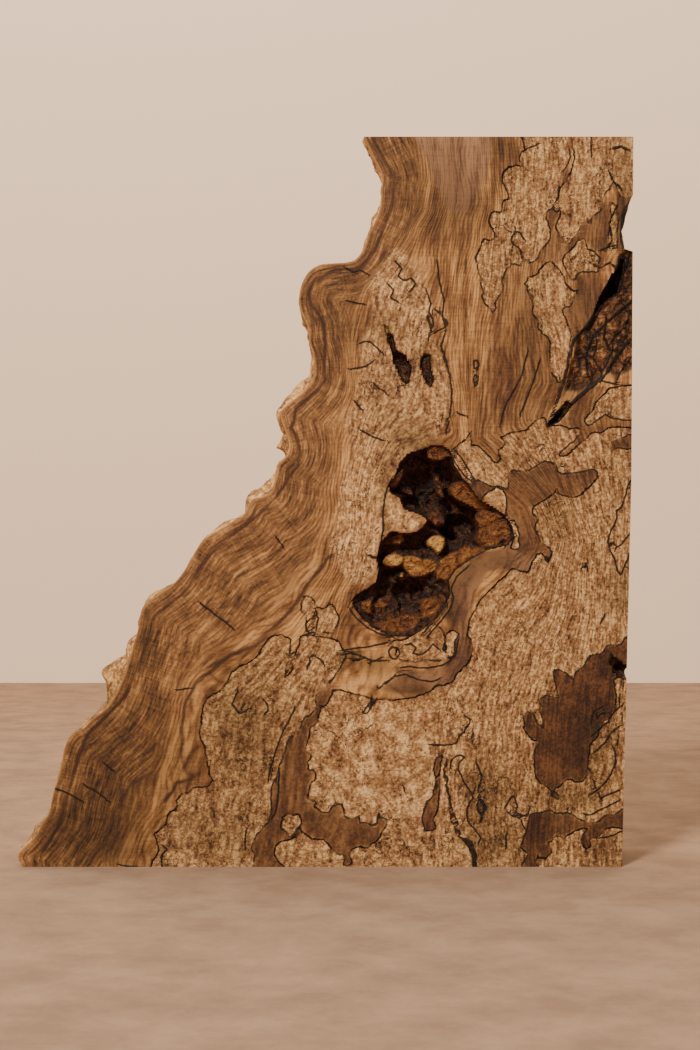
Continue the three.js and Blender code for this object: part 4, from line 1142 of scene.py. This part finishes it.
bump = add(tree, "ShaderNodeBump", {"Height": raised, "Distance": 0.0016, "Strength": 0.9})
tree.links.new(bump.outputs["Normal"], shader.inputs["Normal"])
slab_mesh.materials.append(wood)
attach(slab, "root")
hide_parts(node)

# ---------------------------------------------------------------- floor and backdrop
# A pale, slightly worn floor that the slab stands on, and a plain light wall behind it. Both are large flat
# sheets with a matt surface, and neither is part of the object.
sheet_size, wall_distance = 6, 1.137
for name, upright, distance in (("floor", 0, 0), ("backdrop", 90, wall_distance)):
    bm = bmesh.new()
    bmesh.ops.create_grid(bm, x_segments=2, y_segments=2, size=sheet_size / 2)
    bmesh.ops.rotate(bm, verts=bm.verts, matrix=Matrix.Rotation(math.radians(upright), 3, "X"))
    bmesh.ops.translate(bm, verts=bm.verts, vec=(0, distance, 0))
    mesh = bpy.data.meshes.new(name)
    bm.to_mesh(mesh)
    bm.free()
    sheet = bpy.data.objects.new(name, mesh)
    bpy.context.scene.collection.objects.link(sheet)
    paper = bpy.data.materials.new(name + "_paper")
    paper.use_nodes = True
    tree = paper.node_tree
    shader = tree.nodes["Principled BSDF"]
    shader.inputs["Roughness"].default_value = 0.95
    shader.inputs["Specular IOR Level"].default_value = 0.1
    if name == "floor":
        worn = noise(tree, add(tree, "ShaderNodeTexCoord").outputs["Object"], 24, 7, 0.7)
        worn = ramp(tree, worn, (0.38, (148, 120, 97)), (0.62, (170, 139, 112)))
        tree.links.new(worn, shader.inputs["Base Color"])
    else:
        shader.inputs["Base Color"].default_value = (0.98, 0.755, 0.545, 1)
    mesh.materials.append(paper)

# ---------------------------------------------------------------- light and camera
# A soft warm light from the front left, a glow on the wall behind the slab, and a pale fill from all round.
# The camera stands level in front of the slab, at the height of the front view's middle.
key_data = bpy.data.lights.new("key", "AREA")
key_data.shape, key_data.size, key_data.energy = "DISK", 0.5, 110
key_data.color = (1, 0.93, 0.84)
key = bpy.data.objects.new("key", key_data)
key.location = (-1.0, -2.2, 2.0)
key_aim = Vector((0, 0, 0.2))
key.rotation_euler = (key_aim - key.location).to_track_quat("-Z", "Y").to_euler()
bpy.context.scene.collection.objects.link(key)
glow_data = bpy.data.lights.new("backdrop_glow", "AREA")
glow_data.shape, glow_data.size, glow_data.size_y, glow_data.energy = "RECTANGLE", 2.4, 0.6, 18
glow_data.color = (1, 0.92, 0.82)
glow = bpy.data.objects.new("backdrop_glow", glow_data)
glow.location = (0, 0.35, 1.6)
glow.rotation_euler = (math.radians(32), 0, 0)
bpy.context.scene.collection.objects.link(glow)
world = bpy.data.worlds.new("studio")
bpy.context.scene.world = world
world.use_nodes = True
world.node_tree.nodes["Background"].inputs["Color"].default_value = (1, 0.93, 0.86, 1)
world.node_tree.nodes["Background"].inputs["Strength"].default_value = 0.42

view_middle_u, view_middle_v, camera_distance = 350, 525, 1.0
lens = bpy.data.cameras.new("camera")
lens.sensor_fit, lens.sensor_height, lens.sensor_width = "VERTICAL", 36, 36
lens.lens = 62.6
camera = bpy.data.objects.new("camera", lens)
camera.location = (
    (view_middle_u - middle_u) * step, low.y - camera_distance, (base_v - view_middle_v) * step)
camera.rotation_euler = (math.radians(90), 0, 0)
bpy.context.scene.collection.objects.link(camera)
bpy.context.scene.camera = camera
